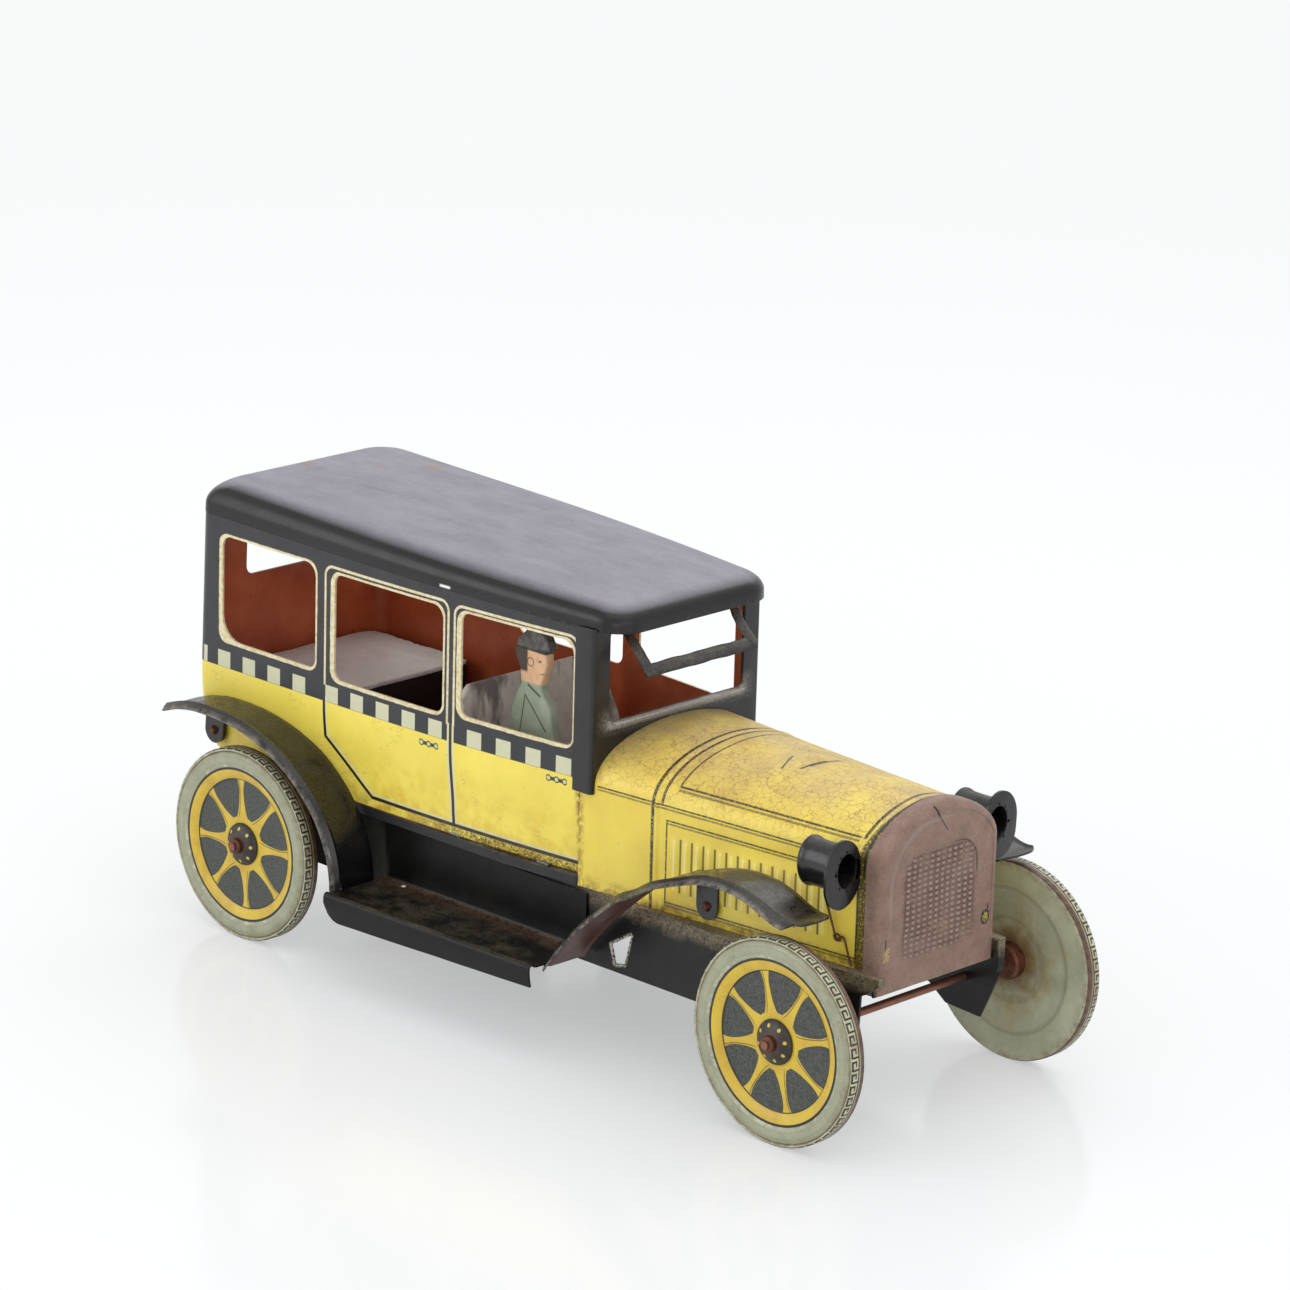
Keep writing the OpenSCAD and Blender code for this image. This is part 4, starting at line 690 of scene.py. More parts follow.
def radiatorPrint():
    s = Shader("radiatorPrint", 0.42)
    color = s.mix(s.patches(0.35, 0.7, 0.18, 6, 0.65), rgb(158, 128, 114), rgb(134, 104, 92))
    fine = s.noise(2.6, 4, 0.75)
    color = s.tint(color, rgb(184, 164, 152), 0.5, s.fade(fine, 0.55, 0.68))
    color = s.tint(color, rgb(92, 68, 60), 0.5, s.fade(fine, 0.46, 0.34))
    cy = s.calc("PINGPONG", s.y, grille["across"] / 2)
    cz = s.calc("PINGPONG", s.z, grille["up"] / 2)
    knob = s.both(s.fade(cy, 0.2, 0.62), s.fade(cz, 0.12, 0.42))
    inside = s.boxDist(s.y, s.z, -12.6, 12.6, 30.0, 65.4, 6.0)
    grid = s.both(knob, s.fade(inside, 0.0, -0.4), s.fade(s.z, grille["low"], grille["low"] + 0.6),
                  s.fade(s.x, 195.2, 195.6))
    worn = s.patches(0.36, 0.56, 0.14, 4, 0.6)
    # painted highlight: the pressed knobs are lightened in cloudy patches
    color = s.tint(color, rgb(184, 160, 148), 0.7, s.both(grid, worn))
    # painted shade: the hollows between the knobs are darkened
    hollowShade = s.both(s.minus(1.0, knob), s.fade(inside, 0.0, -0.4),
                    s.fade(s.z, grille["low"], grille["low"] + 0.6), worn)
    color = s.tint(color, rgb(84, 60, 52), 0.42, hollowShade)
    wedge = s.stroke(s.y, s.z, (-2.8, 75.8), (-0.2, 72.0), 0.5, 0.05)
    crack = s.any(wedge, s.stroke(s.y, s.z, (-0.4, 72.4), (2.0, 69.2), 0.28, 0.05))
    color = s.mix(crack, color, rgb(24, 20, 20))
    color = s.tint(color, rgb(76, 50, 44), 0.6, s.patches(0.58, 0.72, 0.5, 7, 0.75))
    pale = s.both(s.patches(0.58, 0.7, 0.35, 6, 0.7, s.moved(4, 4, 4)), s.fade(s.z, 60, 36))
    color = s.tint(color, rgb(160, 140, 124), 0.5, pale)
    arc = s.both(s.outline(inside, 0.35, 0.3, 0.12), s.fade(s.y, 3, 6), s.fade(s.z, 55, 58))
    color = s.tint(color, rgb(52, 36, 32), 0.8, arc)
    brow = s.both(s.outline(s.boxDist(s.y, s.z, -16.8, 16.8, 20, 72.6, 14.5), 0, 0.7, 0.5), s.fade(s.y, 5, 1),
                  s.fade(s.z, 46, 54))
    color = s.tint(color, rgb(178, 160, 150), 0.45, brow)
    # torn tab hole and bare spots at the edges
    bolt = s.radius(s.minus(s.y, 16.7), s.times(s.minus(s.z, 44.4), 0.8))
    bolt = s.plus(bolt, s.scaled(s.noise(0.9, 4, 0.7), 1.6, -0.8))
    spike = s.any(s.stroke(s.y, s.z, (17.3, 45.4), (17.5, 47.4), 0.5),
                  s.stroke(s.y, s.z, (-18.2, 44.8), (-18.1, 46.8), 0.4))
    color = s.mix(s.any(s.fade(bolt, 1.55, 1.35), spike), color, rgb(38, 30, 26))
    color = s.mix(s.fade(bolt, 1.05, 0.8), color, s.mix(s.patches(0.45, 0.55, 2.4, 3), rgb(206, 190, 98),
                                                        rgb(116, 100, 56)))
    flecks = s.both(s.span(s.y, -18.9, -16.8), s.span(s.z, 41.4, 44.6), s.patches(0.48, 0.54, 1.7, 4, 0.7),
                    s.fade(s.x, 194.5, 195.2))
    color = s.tint(color, rgb(214, 186, 92), 0.9, flecks)
    ridge = s.both(s.outline(inside, 0.9, 0.9, 0.4), s.fade(s.y, -9, -3), s.fade(s.z, 50, 56))
    height = s.plus(s.times(s.both(grid, s.scaled(worn, 0.6, 0.5)), 1.6),
                    s.scaled(s.any(ridge, s.times(brow, 0.8)), 1.3,
                             s.scaled(s.noise(0.9, 6, 0.75), 0.9, s.times(fine, 1.5))))
    return s.finish(color, s.scaled(s.noise(0.5, 5), 0.25, 0.3), s.bump(height, 0.85, 0.45))


spokes = 8


def polar(s, cx):
    # radius from the axle and angle in turns
    dx, dz = s.minus(s.x, cx), s.minus(s.z, car["wheelR"])
    r = s.radius(dx, dz)
    turn = s.times(s.calc("ARCTAN2", dz, dx), 1 / math.tau)
    return r, turn


def acrossSpoke(s, r, turn, first):
    # distance across the nearest spoke; first is the angle of one of them
    start = 0.5 - first / (360 / spokes)
    fold = s.minus(s.calc("FRACT", s.scaled(turn, spokes, start)), 0.5)
    return s.times(s.times(fold, math.tau / spokes), r)


def wheelPrint(name, cx, first):
    s = Shader(name, 0.34)
    r, turn = polar(s, cx)
    base = s.mix(s.patches(0.35, 0.7, 0.16, 6, 0.6), ink["tyre"], rgb(138, 140, 116))
    lowerDarkening = s.patches(0.54, 0.7, 0.42, 7, 0.75, s.moved(1, 5, 3))
    base = s.tint(base, rgb(112, 100, 78), 0.5, lowerDarkening)
    base = s.tint(base, rgb(122, 124, 104), 0.4, s.any(s.outline(r, 22.9, 0.25, 0.2),
                                                       s.outline(r, 21.2, 0.2, 0.15)))
    rusty = s.both(s.fade(r, 22.6, 24.6), s.patches(0.42, 0.62, 0.4, 6, 0.7))
    base = s.tint(base, rgb(118, 84, 56), 0.8, rusty)
    ring = s.mix(s.patches(0.4, 0.7, 0.2, 4), rgb(206, 176, 58), rgb(190, 156, 54))
    color = s.mix(s.fade(r, 20.1, 20.0), base, ink["line"])
    color = s.mix(s.fade(r, 19.45, 19.35), color, ring)
    color = s.mix(s.fade(r, 17.05, 16.95), color, ink["line"])
    ground = s.mix(s.patches(0.4, 0.62, 2.4, 3, 0.6), rgb(40, 44, 40), rgb(74, 78, 70))
    color = s.mix(s.fade(r, 16.6, 16.5), color, ground)
    side = acrossSpoke(s, r, turn, first)
    near = s.calc("POWER", math.e, s.scaled(r, -0.42, 2.52))
    flare = s.calc("POWER", s.fade(r, 13.4, 17.0), 2.0)
    half = s.plus(s.scaled(near, 2.15, 0.7), s.times(flare, 0.75))
    over = s.minus(s.absolute(side), half)
    inDisc = s.fade(r, 16.8, 16.7)
    spoke = s.both(s.fade(over, 0.07, -0.07), inDisc)
    hub = s.fade(r, 7.2, 7.0)
    color = s.mix(s.any(spoke, s.both(hub, inDisc)), color, ring)
    shade = s.both(s.fade(s.minus(side, s.times(half, 0.62)), 0.22, 0.05),
                   s.fade(s.minus(side, s.times(half, 0.62)), -0.22, -0.05), inDisc, s.fade(r, 6.2, 7.4))
    color = s.tint(color, rgb(84, 66, 26), 0.85, shade)
    color = wear(s, color, 0.45, 0.6, cx * 0.1)
    scuff = s.both(s.outline(r, 20.4, 0.5, 0.3), s.patches(0.5, 0.62, 0.5, 4, 0.6))
    color = s.tint(color, rgb(214, 212, 190), 0.6, scuff)
    lift = s.scaled(s.any(spoke, hub), 1.0, s.times(s.noise(2.4, 3), 0.3))
    return s.finish(color, s.scaled(s.noise(0.5, 5), 0.25, 0.24), s.bump(lift, 0.5, 0.3))


def treadPrint(name, cx, track):
    s = Shader(name, 0.5)
    r, turn = polar(s, cx)
    out = s.minus(s.absolute(s.y), track / 2 - car["tyreW"])  # 0 inner edge, 4.8 outer
    u = s.calc("FRACT", s.times(turn, 52.0))
    v = s.scaled(out, 1 / 2.4, -1.9 / 2.4)
    w = 0.17

    def bar(u0, u1, v0, v1):
        return s.both(s.span(u, u0, u1, 0.03), s.span(v, v0, v1, 0.03))

    key = s.any(bar(-0.1, 1.1, 0.0, w), bar(0.0, w, 0.0, 1.0), bar(0.0, 0.82, 1 - w, 1.0),
                bar(0.82 - w, 0.82, 0.36, 1.0), bar(0.34, 0.82, 0.36, 0.36 + w))
    color = s.mix(s.patches(0.35, 0.65, 0.3, 6, 0.6), rgb(192, 192, 164), rgb(168, 162, 132))
    color = s.mix(s.any(key, s.fade(v, 1.05, 1.15)), color, rgb(36, 34, 30))
    color = s.mix(s.fade(v, 1.2, 1.3), color, ink["tyre"])
    inner = s.fade(out, 1.9, 1.4)
    band = s.mix(s.patches(0.4, 0.62, 0.5, 6, 0.7), rgb(104, 80, 62), rgb(62, 46, 38))
    color = s.mix(inner, color, band)
    color = wear(s, color, 0.6, 0.6, cx * 0.2 + 4)
    stain = s.patches(0.5, 0.66, 0.13, 6, 0.65)
    color = s.tint(color, rgb(104, 72, 50), 0.45, stain)
    # the back of the wheel, below the tread
    back = s.mix(s.patches(0.35, 0.68, 0.12, 6, 0.6), rgb(188, 190, 162), rgb(160, 162, 134))
    rings = s.any(s.outline(r, 18.2, 0.5, 0.5), s.outline(r, 10.6, 0.4, 0.5))
    back = s.tint(back, rgb(104, 92, 62), 0.45, rings)
    brown = s.both(s.patches(0.48, 0.66, 0.09, 6, 0.65, s.moved(cx, 3, 8)), s.fade(r, 24, 10))
    back = s.tint(back, rgb(168, 138, 78), 0.6, brown)
    halo = s.both(s.fade(s.plus(r, s.times(s.noise(0.2, 5, 0.7), 9.0)), 19, 11), s.patches(0.3, 0.6, 0.3, 5))
    back = s.tint(back, rgb(138, 112, 56), 0.8, halo)
    core = s.fade(s.plus(r, s.times(s.noise(0.35, 5, 0.7), 4.0)), 10.6, 7.2)
    back = s.tint(back, rgb(112, 76, 44), 0.7, core)
    edge = s.both(s.fade(r, 22.4, 24.4), s.patches(0.45, 0.6, 0.5, 6, 0.7))
    back = s.tint(back, rgb(118, 76, 50), 0.5, edge)
    back = wear(s, back, 0.5, 0.5, cx * 0.3 + 1)
    color = s.mix(s.fade(r, 24.75, 24.6), color, back)
    height = s.times(s.both(key, s.fade(r, 24.6, 24.75)), -1.0)
    return s.finish(color, s.scaled(s.noise(0.5, 5), 0.3, 0.32), s.bump(height, 0.3, 0.15))


def hubPrint(name, cx, first):
    s = Shader(name, 0.4)
    r, turn = polar(s, cx)
    side = acrossSpoke(s, r, turn, first)
    dot = s.radius(s.minus(r, 4.2), side)
    color = s.mix(s.patches(0.4, 0.7, 0.5, 5), rgb(34, 32, 30), rgb(58, 50, 44))
    color = s.mix(s.fade(dot, 0.5, 0.38), color, rgb(196, 170, 70))
    rust = s.fade(s.plus(r, s.times(s.noise(0.6, 6, 0.7), 3.0)), 4.9, 3.3)
    color = s.tint(color, rgb(84, 52, 40), 0.8, rust)
    return s.finish(color, s.scaled(s.noise(0.7), 0.3, 0.28))


def metal(name, a, b, gloss=0.35, shiny=1.0, rust=0.0, scale=0.4, stretch=(1, 1, 1), edge=True):
    s = Shader(name, gloss, shiny)
    at = s.vec("MULTIPLY", s.mm, stretch)
    color = s.mix(s.patches(0.35, 0.7, scale, 6, 0.65, at), rgb(*a), rgb(*b))
    spots = s.patches(0.62 - 0.3 * rust, 0.74 - 0.25 * rust, 0.35, 7, 0.7)
    color = s.tint(color, ink["rust"], 0.4 + 0.5 * rust, spots)
    m = s.scaled(spots, -shiny * 0.8, shiny, clamp=True)
    r = s.scaled(s.noise(0.9, 5), 0.25, gloss - 0.08)
    normal = s.bump(s.noise(1.4, 5, 0.7, at), 0.15 + 0.4 * rust, 0.12, s.edges(0.12) if edge else None)
    return s.finish(color, r, normal, m)


def felt(name, a, b, dark, darkAmount):
    s = Shader(name, 0.95)
    color = s.mix(s.patches(0.35, 0.68, 0.35, 6, 0.7), rgb(*a), rgb(*b))
    patch = s.patches(0.52, 0.6, 0.1, 4, 0.6, s.vec("MULTIPLY", s.mm, (0.6, 1.0, 0.3)))
    color = s.tint(color, rgb(*dark), darkAmount, patch)
    fuzz = s.scaled(s.noise(3.0, 5, 0.8), 1.0, s.times(s.noise(0.8, 4, 0.7), 1.2))
    s.bsdf.inputs["Sheen Weight"].default_value = 0.3
    return s.finish(color, None, s.bump(fuzz, 0.9, 0.6))


bodyInk = bodyPrint()
redInside = lacquer()
roofInk = roofPaint()
hoodInk = hoodPrint()
radiatorInk = radiatorPrint()
shieldPaint = blackPaint("shieldPaint", 0.6, (24, 23, 24), 0.3, True, worn=0.5, lint=(77.5, 82.5))
fenderPaint = blackPaint("fenderPaint", 0.12, (16, 16, 17), 0.18, worn=0.35, seed=6, bright=0.2, extra=lipWearAndHighlight)
fenderUnder = blackPaint("fenderUnder", 0.1, (74, 46, 38), 0.4, worn=0.6, seed=2)
boardPaint = blackPaint("boardPaint", 0.2, (11, 10, 9), 0.3, worn=0.5, seed=12, bright=0.1, level=0.22,
                        extra=boardDirt)
chassisPaint = blackPaint("chassisPaint", 0.45, (15, 14, 14), 0.34, True, worn=0.3, seed=15, bright=0.2,
                          level=0.3, extra=shelfDirt)
lampPaint = blackPaint("lampPaint", 0.12, (16, 16, 17), 0.19, worn=0.3, seed=21)
floorPaint = blackPaint("floorPaint", 0.6, (26, 26, 28), 0.45, True, worn=0.4, seed=25)
rodSteel = metal("rodSteel", (150, 104, 88), (110, 70, 58), 0.4, 0.75, 0.35, 0.3, (1, 0.2, 1), False)
nutSteel = metal("nutSteel", (112, 74, 60), (70, 48, 40), 0.42, 0.8, 0.45, 0.8)
tinPlate = metal("tinPlate", (150, 146, 140), (108, 104, 98), 0.38, 0.9, 0.2, 0.8)
wireSteel = metal("wireSteel", (112, 78, 62), (70, 50, 42), 0.5, 0.8, 0.4, 1.0, edge=False)
brass = metal("gearBrass", (196, 160, 92), (150, 116, 62), 0.32, 1.0, 0.08, 0.4)
driveSteel = metal("driveSteel", (150, 150, 152), (108, 106, 104), 0.34, 1.0, 0.12, 0.3)
iron = metal("flywheelIron", (112, 112, 114), (76, 74, 74), 0.4, 0.95, 0.15, 0.4, (1, 4, 1))
benchFelt = felt("benchFelt", (250, 248, 244), (240, 238, 232), (206, 198, 186), 0.25)
seatFelt = felt("seatFelt", (246, 242, 232), (226, 220, 208), (62, 54, 48), 0.8)
print("materials:", len(bpy.data.materials))


# body shell: one sheet round the sides and the rear
wall = {"cornerR": 4.0, "footR": 12.0, "tin": 0.6, "topUp": -0.1, "lean": 1.7}
wall["flat"] = car["bodyHalf"] - wall["cornerR"]
wall["arc"] = wall["cornerR"] * math.pi / 2
wall["turn"] = wall["flat"] + wall["arc"]
wall["sideStart"] = car["bodyRear"] + wall["cornerR"]
wall["leanZ"] = car["sill"] + wall["footR"]


def tumbleAt(z):
    up = z - car["sill"]
    return lerp(2.1, 1.51, max(0, up / 6)) if up < 6 else 1.54 * (1 - smooth(up, 4, 24))


def alongBody(s):
    return abs(s) - wall["turn"] + wall["sideStart"]


def placeBody(s, z):
    a = abs(s)
    if a <= wall["flat"]:
        x, y = car["bodyRear"], a
    elif a <= wall["turn"]:
        w = (a - wall["flat"]) / wall["cornerR"]
        x = car["bodyRear"] + wall["cornerR"] * (1 - math.cos(w))
        y = wall["flat"] + wall["cornerR"] * math.sin(w)
    else:
        x = alongBody(s)
        y = bodyHalf(x)
    y *= (car["bodyHalf"] - tumbleAt(z)) / car["bodyHalf"]
    # the rear wall curls in under the car and leans forward above
    if z < wall["leanZ"] and x < car["bodyRear"] + wall["footR"]:
        off = wall["footR"] - math.sqrt(max(0, wall["footR"] ** 2 - (wall["leanZ"] - z) ** 2))
        x = car["bodyRear"] + off + (x - car["bodyRear"]) * (wall["footR"] - off) / wall["footR"]
    elif z > wall["leanZ"]:
        x += wall["lean"] * (z - wall["leanZ"]) / (car["rimRear"] - wall["leanZ"]) * smooth(x, -20, -26)
    side = -1 if s < 0 else 1
    dent = 0.12 * noise.noise(Vector((s * 0.06, z * 0.07, side * 5)))
    return Vector((x, side * (y - abs(dent) * smooth(z, 44, 50) * smooth(64, z, z + 8)), z))


def bodyOutline():
    end = wall["turn"] + car["bodyFront"] - wall["sideStart"]
    low = [(end, car["sill"]), (43.5, car["sill"])]
    for i in range(1, 9):
        low.append((lerp(43.5, 29.4, i / 8), lerp(car["sill"], 43.7, smooth(i / 8, 0, 1))))
    low.append((29.2, 43.7))
    high = [(s, roofLine(max(alongBody(s), car["bodyRear"])) + wall["topUp"]) for s in (0, 37, 60, 110, end)]
    left = low[::-1] + high[::-1]
    right = [(-s, z) for s, z in high[1:]]
    return [(-s, z) for s, z in low] + left + right


shift = wall["turn"] - wall["sideStart"]
holes = [roundLoop(-16.25, 16.25, 84.8, 99.1, (2.5, 2.5, 2.5, 2.5))]
for x0, x1, z0, z1, r in windows:
    loop = [(x + shift, z) for x, z in roundLoop(x0, x1, z0, z1, r)]
    holes += [loop, [(-s, z) for s, z in loop]]
cutsU = [side * (wall["flat"] + wall["arc"] * i / 10) for side in (-1, 1) for i in range(11)]
cutsU += [side * s for side in (-1, 1) for s in range(46, 162, 7)] + [-15, -7, 0, 7, 15]
cutsV = [41.6, 42.4, 43.3, 44.4, 45.6, 47, 48.6, 50.2, 52, 54, 57, 60, 63, 66, 70, 76, 84, 92, 100, 102.5]
shell = plate(bodyOutline(), holes, cutsU, cutsV, placeBody, lambda s, z: alongBody(s))
thicken(shell, wall["tin"], lambda p: Vector((30, 0, 70)) - p, 1)
piece("bodyShell", shell, [bodyInk, redInside], "car", ["body_side_right", "body_side_left", "body_rear"],
      "body_print", 50)


# deep drawn roof lid
lid = {"over": 0.1, "rearR": 4.1, "frontR": 8.5, "edge": 7.0, "height": 8.7, "crown": 0.7, "fall": 2.4}


def lidRing(bm, inset, h, share=0.0, corners=14):
    # half an outline of the lid, then its mirror image
    near, far = min(inset, lid["edge"]), max(0, inset - lid["edge"])
    rr = lid["rearR"] + 0.7 * near - 0.4 * far
    fr = lid["frontR"] - 0.6 * near - 0.18 * far
    x0 = car["roofRear"] + inset
    x1 = car["roofFront"] - inset
    yr = bodyHalf(x0 + rr) + lid["over"] - inset
    yf = bodyHalf(x1 - fr) + lid["over"] - inset
    half = [(x0, lerp(0, yr - rr, i / 8)) for i in range(8)]
    half += [(x0 + rr - rr * math.cos(w), yr - rr + rr * math.sin(w))
             for w in (math.pi / 2 * i / corners for i in range(corners))]
    half += [(x, bodyHalf(x) + lid["over"] - inset)
             for x in (lerp(x0 + rr, x1 - fr, i / 30) for i in range(31))]
    half += [(x1 - fr + fr * math.sin(w), yf - fr + fr * math.cos(w))
             for w in (math.pi / 2 * i / corners for i in range(1, corners + 1))]
    half += [(x1, lerp(yf - fr, 0, i / 8)) for i in range(1, 9)]
    ring = half + [(x, -y) for x, y in reversed(half[1:-1])]
    vs = []
    for x, y in ring:
        y = max(y, 0.02) if (x, y) in half and y < 0.02 and inset > 25 else y
        soft = 0.16 * noise.noise(Vector((x * 0.045, y * 0.06, 1.5))) * smooth(inset, 6, 16)
        fall = share * lid["fall"] * (x - car["roofRear"]) / (car["roofFront"] - car["roofRear"])
        vs.append(bm.verts.new((x, y, roofLine(x) + h - fall + soft)))
    return [bm.edges.new((vs[i], vs[(i + 1) % len(vs)])) for i in range(len(vs))]


lidMesh = bmesh.new()
rings = [lidRing(lidMesh, 0.0, 0.0), lidRing(lidMesh, 0.0, 0.45)]
for i in range(1, 13):
    w = math.pi / 2 * i / 12
    rings.append(lidRing(lidMesh, lid["edge"] * (1 - math.cos(w)),
                         lid["height"] - lid["edge"] * (1 - math.sin(w)), math.sin(w)))
for i in range(1, 9):
    t = i / 8
    rings.append(lidRing(lidMesh, lerp(lid["edge"], 27.5, t), lid["height"] + lid["crown"] * (1 - (1 - t) ** 2),
                         1.0))
for a, b in zip(rings, rings[1:]):
    bmesh.ops.bridge_loops(lidMesh, edges=a + b)
bmesh.ops.edgeloop_fill(lidMesh, edges=rings[-1])
thicken(lidMesh, 0.6, lambda p: Vector((40, 0, 70)) - p, 1)
piece("roofLid", lidMesh, [roofInk, redInside], "car", "roof", "roof_paint", 60)
print("body and roof built")


# windshield frame, its ledge and the opened upper strips
shield = {"half": 28.88, "x": 110.0, "foot": 62.7, "sideTop": 103.03, "flangeTop": 103.6, "top": 104.0,
          "sill": 79.7, "open": 23.28, "openTop": 102.1, "bend": 1.0, "flange": 6.2, "tin": 0.55, "tilt": 43}
shield["flat"] = shield["half"] - shield["bend"]
shield["turn"] = shield["flat"] + shield["bend"] * math.pi / 2


def hoodTop(y, x):
    # height of the hood's outside at a point across it
    t = (x - hood["rear"]) / (hood["front"] - hood["rear"])
    rise = lerp(hood["rearRise"], hood["frontRise"], t)
    power = lerp(hood["rearPower"], hood["frontPower"], t)
    c = min(1, abs(y) / hoodHalf(x)) ** (1 / power)
    return hood["side"] + rise * math.sqrt(max(0, 1 - c * c)) ** power


def placeShield(t, z):
    a = abs(t)
    side = -1 if t < 0 else 1
    if a <= shield["flat"]:
        return Vector((shield["x"], t, z))
    if a <= shield["turn"]:
        w = (a - shield["flat"]) / shield["bend"]
        return Vector((shield["x"] - shield["bend"] * (1 - math.cos(w)),
                       side * (shield["flat"] + shield["bend"] * math.sin(w)), z))
    return Vector((shield["x"] - shield["bend"] - (a - shield["turn"]), side * shield["half"], z))


reach = shield["turn"] + shield["flange"] - shield["bend"]
arch = [(y, hoodTop(y, shield["x"]) + 0.15)
        for y in (27.4 * math.sin(math.pi / 2 * i / 16) for i in range(-16, 17))]
outer = [(-reach, shield["foot"]), (-27.6, shield["foot"])] + arch[1:-1]
outer += [(27.6, shield["foot"]), (reach, shield["foot"])]
outer += [(reach, shield["flangeTop"]), (28.0, shield["flangeTop"]), (27.95, shield["sideTop"]),
          (26.2, shield["sideTop"]), (25.8, shield["top"]), (-25.8, shield["top"]), (-26.2, shield["sideTop"]),
          (-27.95, shield["sideTop"]), (-28.0, shield["flangeTop"]), (-reach, shield["flangeTop"])]
opening = roundLoop(-shield["open"], shield["open"], shield["sill"], shield["openTop"], (1.2, 1.2, 1, 1), 5)
edges = [side * lerp(shield["flat"], shield["turn"], i / 4) for side in (-1, 1) for i in range(5)]
shieldMesh = plate(outer, [opening], edges, [66, 72, 90], placeShield)
thicken(shieldMesh, shield["tin"], lambda p: Vector((60, 0, 80)) - p, 0)
ledge = block(109.4, 111.5, -shield["open"] + 1, shield["open"] - 1, 79.1, 79.7, 0.2)
merge(shieldMesh, ledge)
# the opened upper frame: a thin twisted strip bent forward along its top
tilt = math.radians(shield["tilt"])
hinge = Vector((shield["x"] - 0.1, 0, shield["openTop"]))
down = Vector((math.sin(tilt), 0, -math.cos(tilt)))
flat = down.cross(Vector((0, 1, 0)))


def addStrip(run, r, thin, twist):
    strip = tube(run, r, 12, [r * (1 + 0.04 * math.sin(i * 2.1)) for i in range(len(run))])
    for v in strip.verts:
        k = (v.co - hinge).dot(flat)
        v.co -= flat * k * (thin + twist * math.sin((v.co - hinge).dot(down) * 0.5))
    merge(shieldMesh, strip)


for side, bow, twist in ((-1, 0.3, 0.12), (1, 0.9, 0.0)):
    across = [side * (lerp(18.4, 18.2, i / 12) - bow * math.sin(math.pi * i / 12)) for i in range(13)]
    addStrip([hinge + down * i + Vector((0.2 * math.sin(i * 0.75), y, 0)) for i, y in enumerate(across)],
             1.65, 0.8, twist)
crossbar = [hinge + down * (11.7 + 0.08 * math.sin(i * 1.3)) + Vector((0, lerp(-19.6, 18.6, i / 14), 0))
            for i in range(15)]
addStrip(crossbar, 1.7, 0.82, 0.0)
merge(shieldMesh, block(109.3, 110.0, -20.2, 20.2, 101.4, 102.1, 0.15))
piece("windshieldFrame", shieldMesh, [shieldPaint], "car", "windshield", "black_paint", 45)


# hood with its bead and louvres

def archSection(half, rise, power, foot, n):
    # even points along upright sides and a rounded top
    pts = [(half, foot), (half, hood["side"])]
    for i in range(1, 181):
        a = math.radians(i)
        c, s = math.cos(a), math.sin(a)
        pts.append((half * math.copysign(abs(c) ** power, c), hood["side"] + rise * abs(s) ** power))
    pts.append((-half, foot))
    lengths = [0]
    for p, q in zip(pts, pts[1:]):
        lengths.append(lengths[-1] + math.hypot(q[0] - p[0], q[1] - p[1]))
    out = []
    k = 0
    for i in range(n + 1):
        want = lengths[-1] * i / n
        while k < len(pts) - 2 and lengths[k + 1] < want:
            k += 1
        t = (want - lengths[k]) / max(1e-9, lengths[k + 1] - lengths[k])
        out.append((lerp(pts[k][0], pts[k + 1][0], t), lerp(pts[k][1], pts[k + 1][1], t)))
    return out


rearSection, frontSection = [archSection(hood[end + "Half"], hood[end + "Rise"], hood[end + "Power"],
                                         hood["foot"], hood["around"]) for end in ("rear", "front")]


def placeHood(u, v):
    x = lerp(hood["rear"], hood["front"], u)
    i = round(v * hood["around"])
    r, f = rearSection[i], frontSection[i]
    y, z = lerp(r[0], f[0], u), lerp(r[1], f[1], u)
    up = min(1, max(0, (z - 66) / 8))
    out = Vector((0, math.copysign(1, y) * (1 - up), up)).normalized()
    lift = 0
    bead = (x - hood["bead"]) / 0.95
    if abs(bead) < 1:
        lift += hood["relief"] * (0.5 + 0.5 * math.cos(math.pi * bead)) * (1 - 0.5 * up)
    if 133 < x < 182 and 43.5 < z < 58.3:
        rib = ((x - hood["firstLouvre"] + hood["louvre"] / 2) % hood["louvre"]) - hood["louvre"] / 2
        ends = smooth(z, 43.8, 45.2) * smooth(58.0, z, z + 1.4) * (1 if 133.2 < x < 181.5 else 0)
        lift += hood["relief"] * max(0, 1 - abs(rib) / 1.25) ** 0.7 * ends
    soft = 0.1 * noise.noise(Vector((x * 0.05, y * 0.08, z * 0.08)))
    return Vector((x, y, z)) + out * (lift + soft * smooth(z, 42, 50))


hoodMesh = surface(hood["along"], hood["around"], placeHood)
thicken(hoodMesh, 0.5, lambda p: Vector((150, 0, 50)) - p, 1)
piece("hoodShell", hoodMesh, [hoodInk, redInside], "car", "hood", "hood_print", 50)


# radiator front

def radiatorRing(bm, x, out):
    half = hoodHalf(min(x, hood["front"])) + out
    pts = archSection(half, hood["frontRise"] + out, hood["frontPower"], grille["foot"], grille["around"])
    vs = [bm.verts.new((x, y, z)) for y, z in pts]
    return [bm.edges.new((vs[i], vs[i + 1])) for i in range(len(vs) - 1)], pts


radMesh = bmesh.new()
rings = [radiatorRing(radMesh, grille[key], grille["over"] + more)[0]
         for key, more in (("back", 0), ("step", 0.02), ("front", 0))]
for i in range(1, 8):
    w = math.pi / 2 * i / 7
    ring, face = radiatorRing(radMesh, grille["front"] + grille["roll"] * math.sin(w),
                              grille["over"] - 2.3 * (1 - math.cos(w)))
    rings.append(ring)
for a, b in zip(rings, rings[1:]):
    bmesh.ops.bridge_loops(radMesh, edges=a + b)


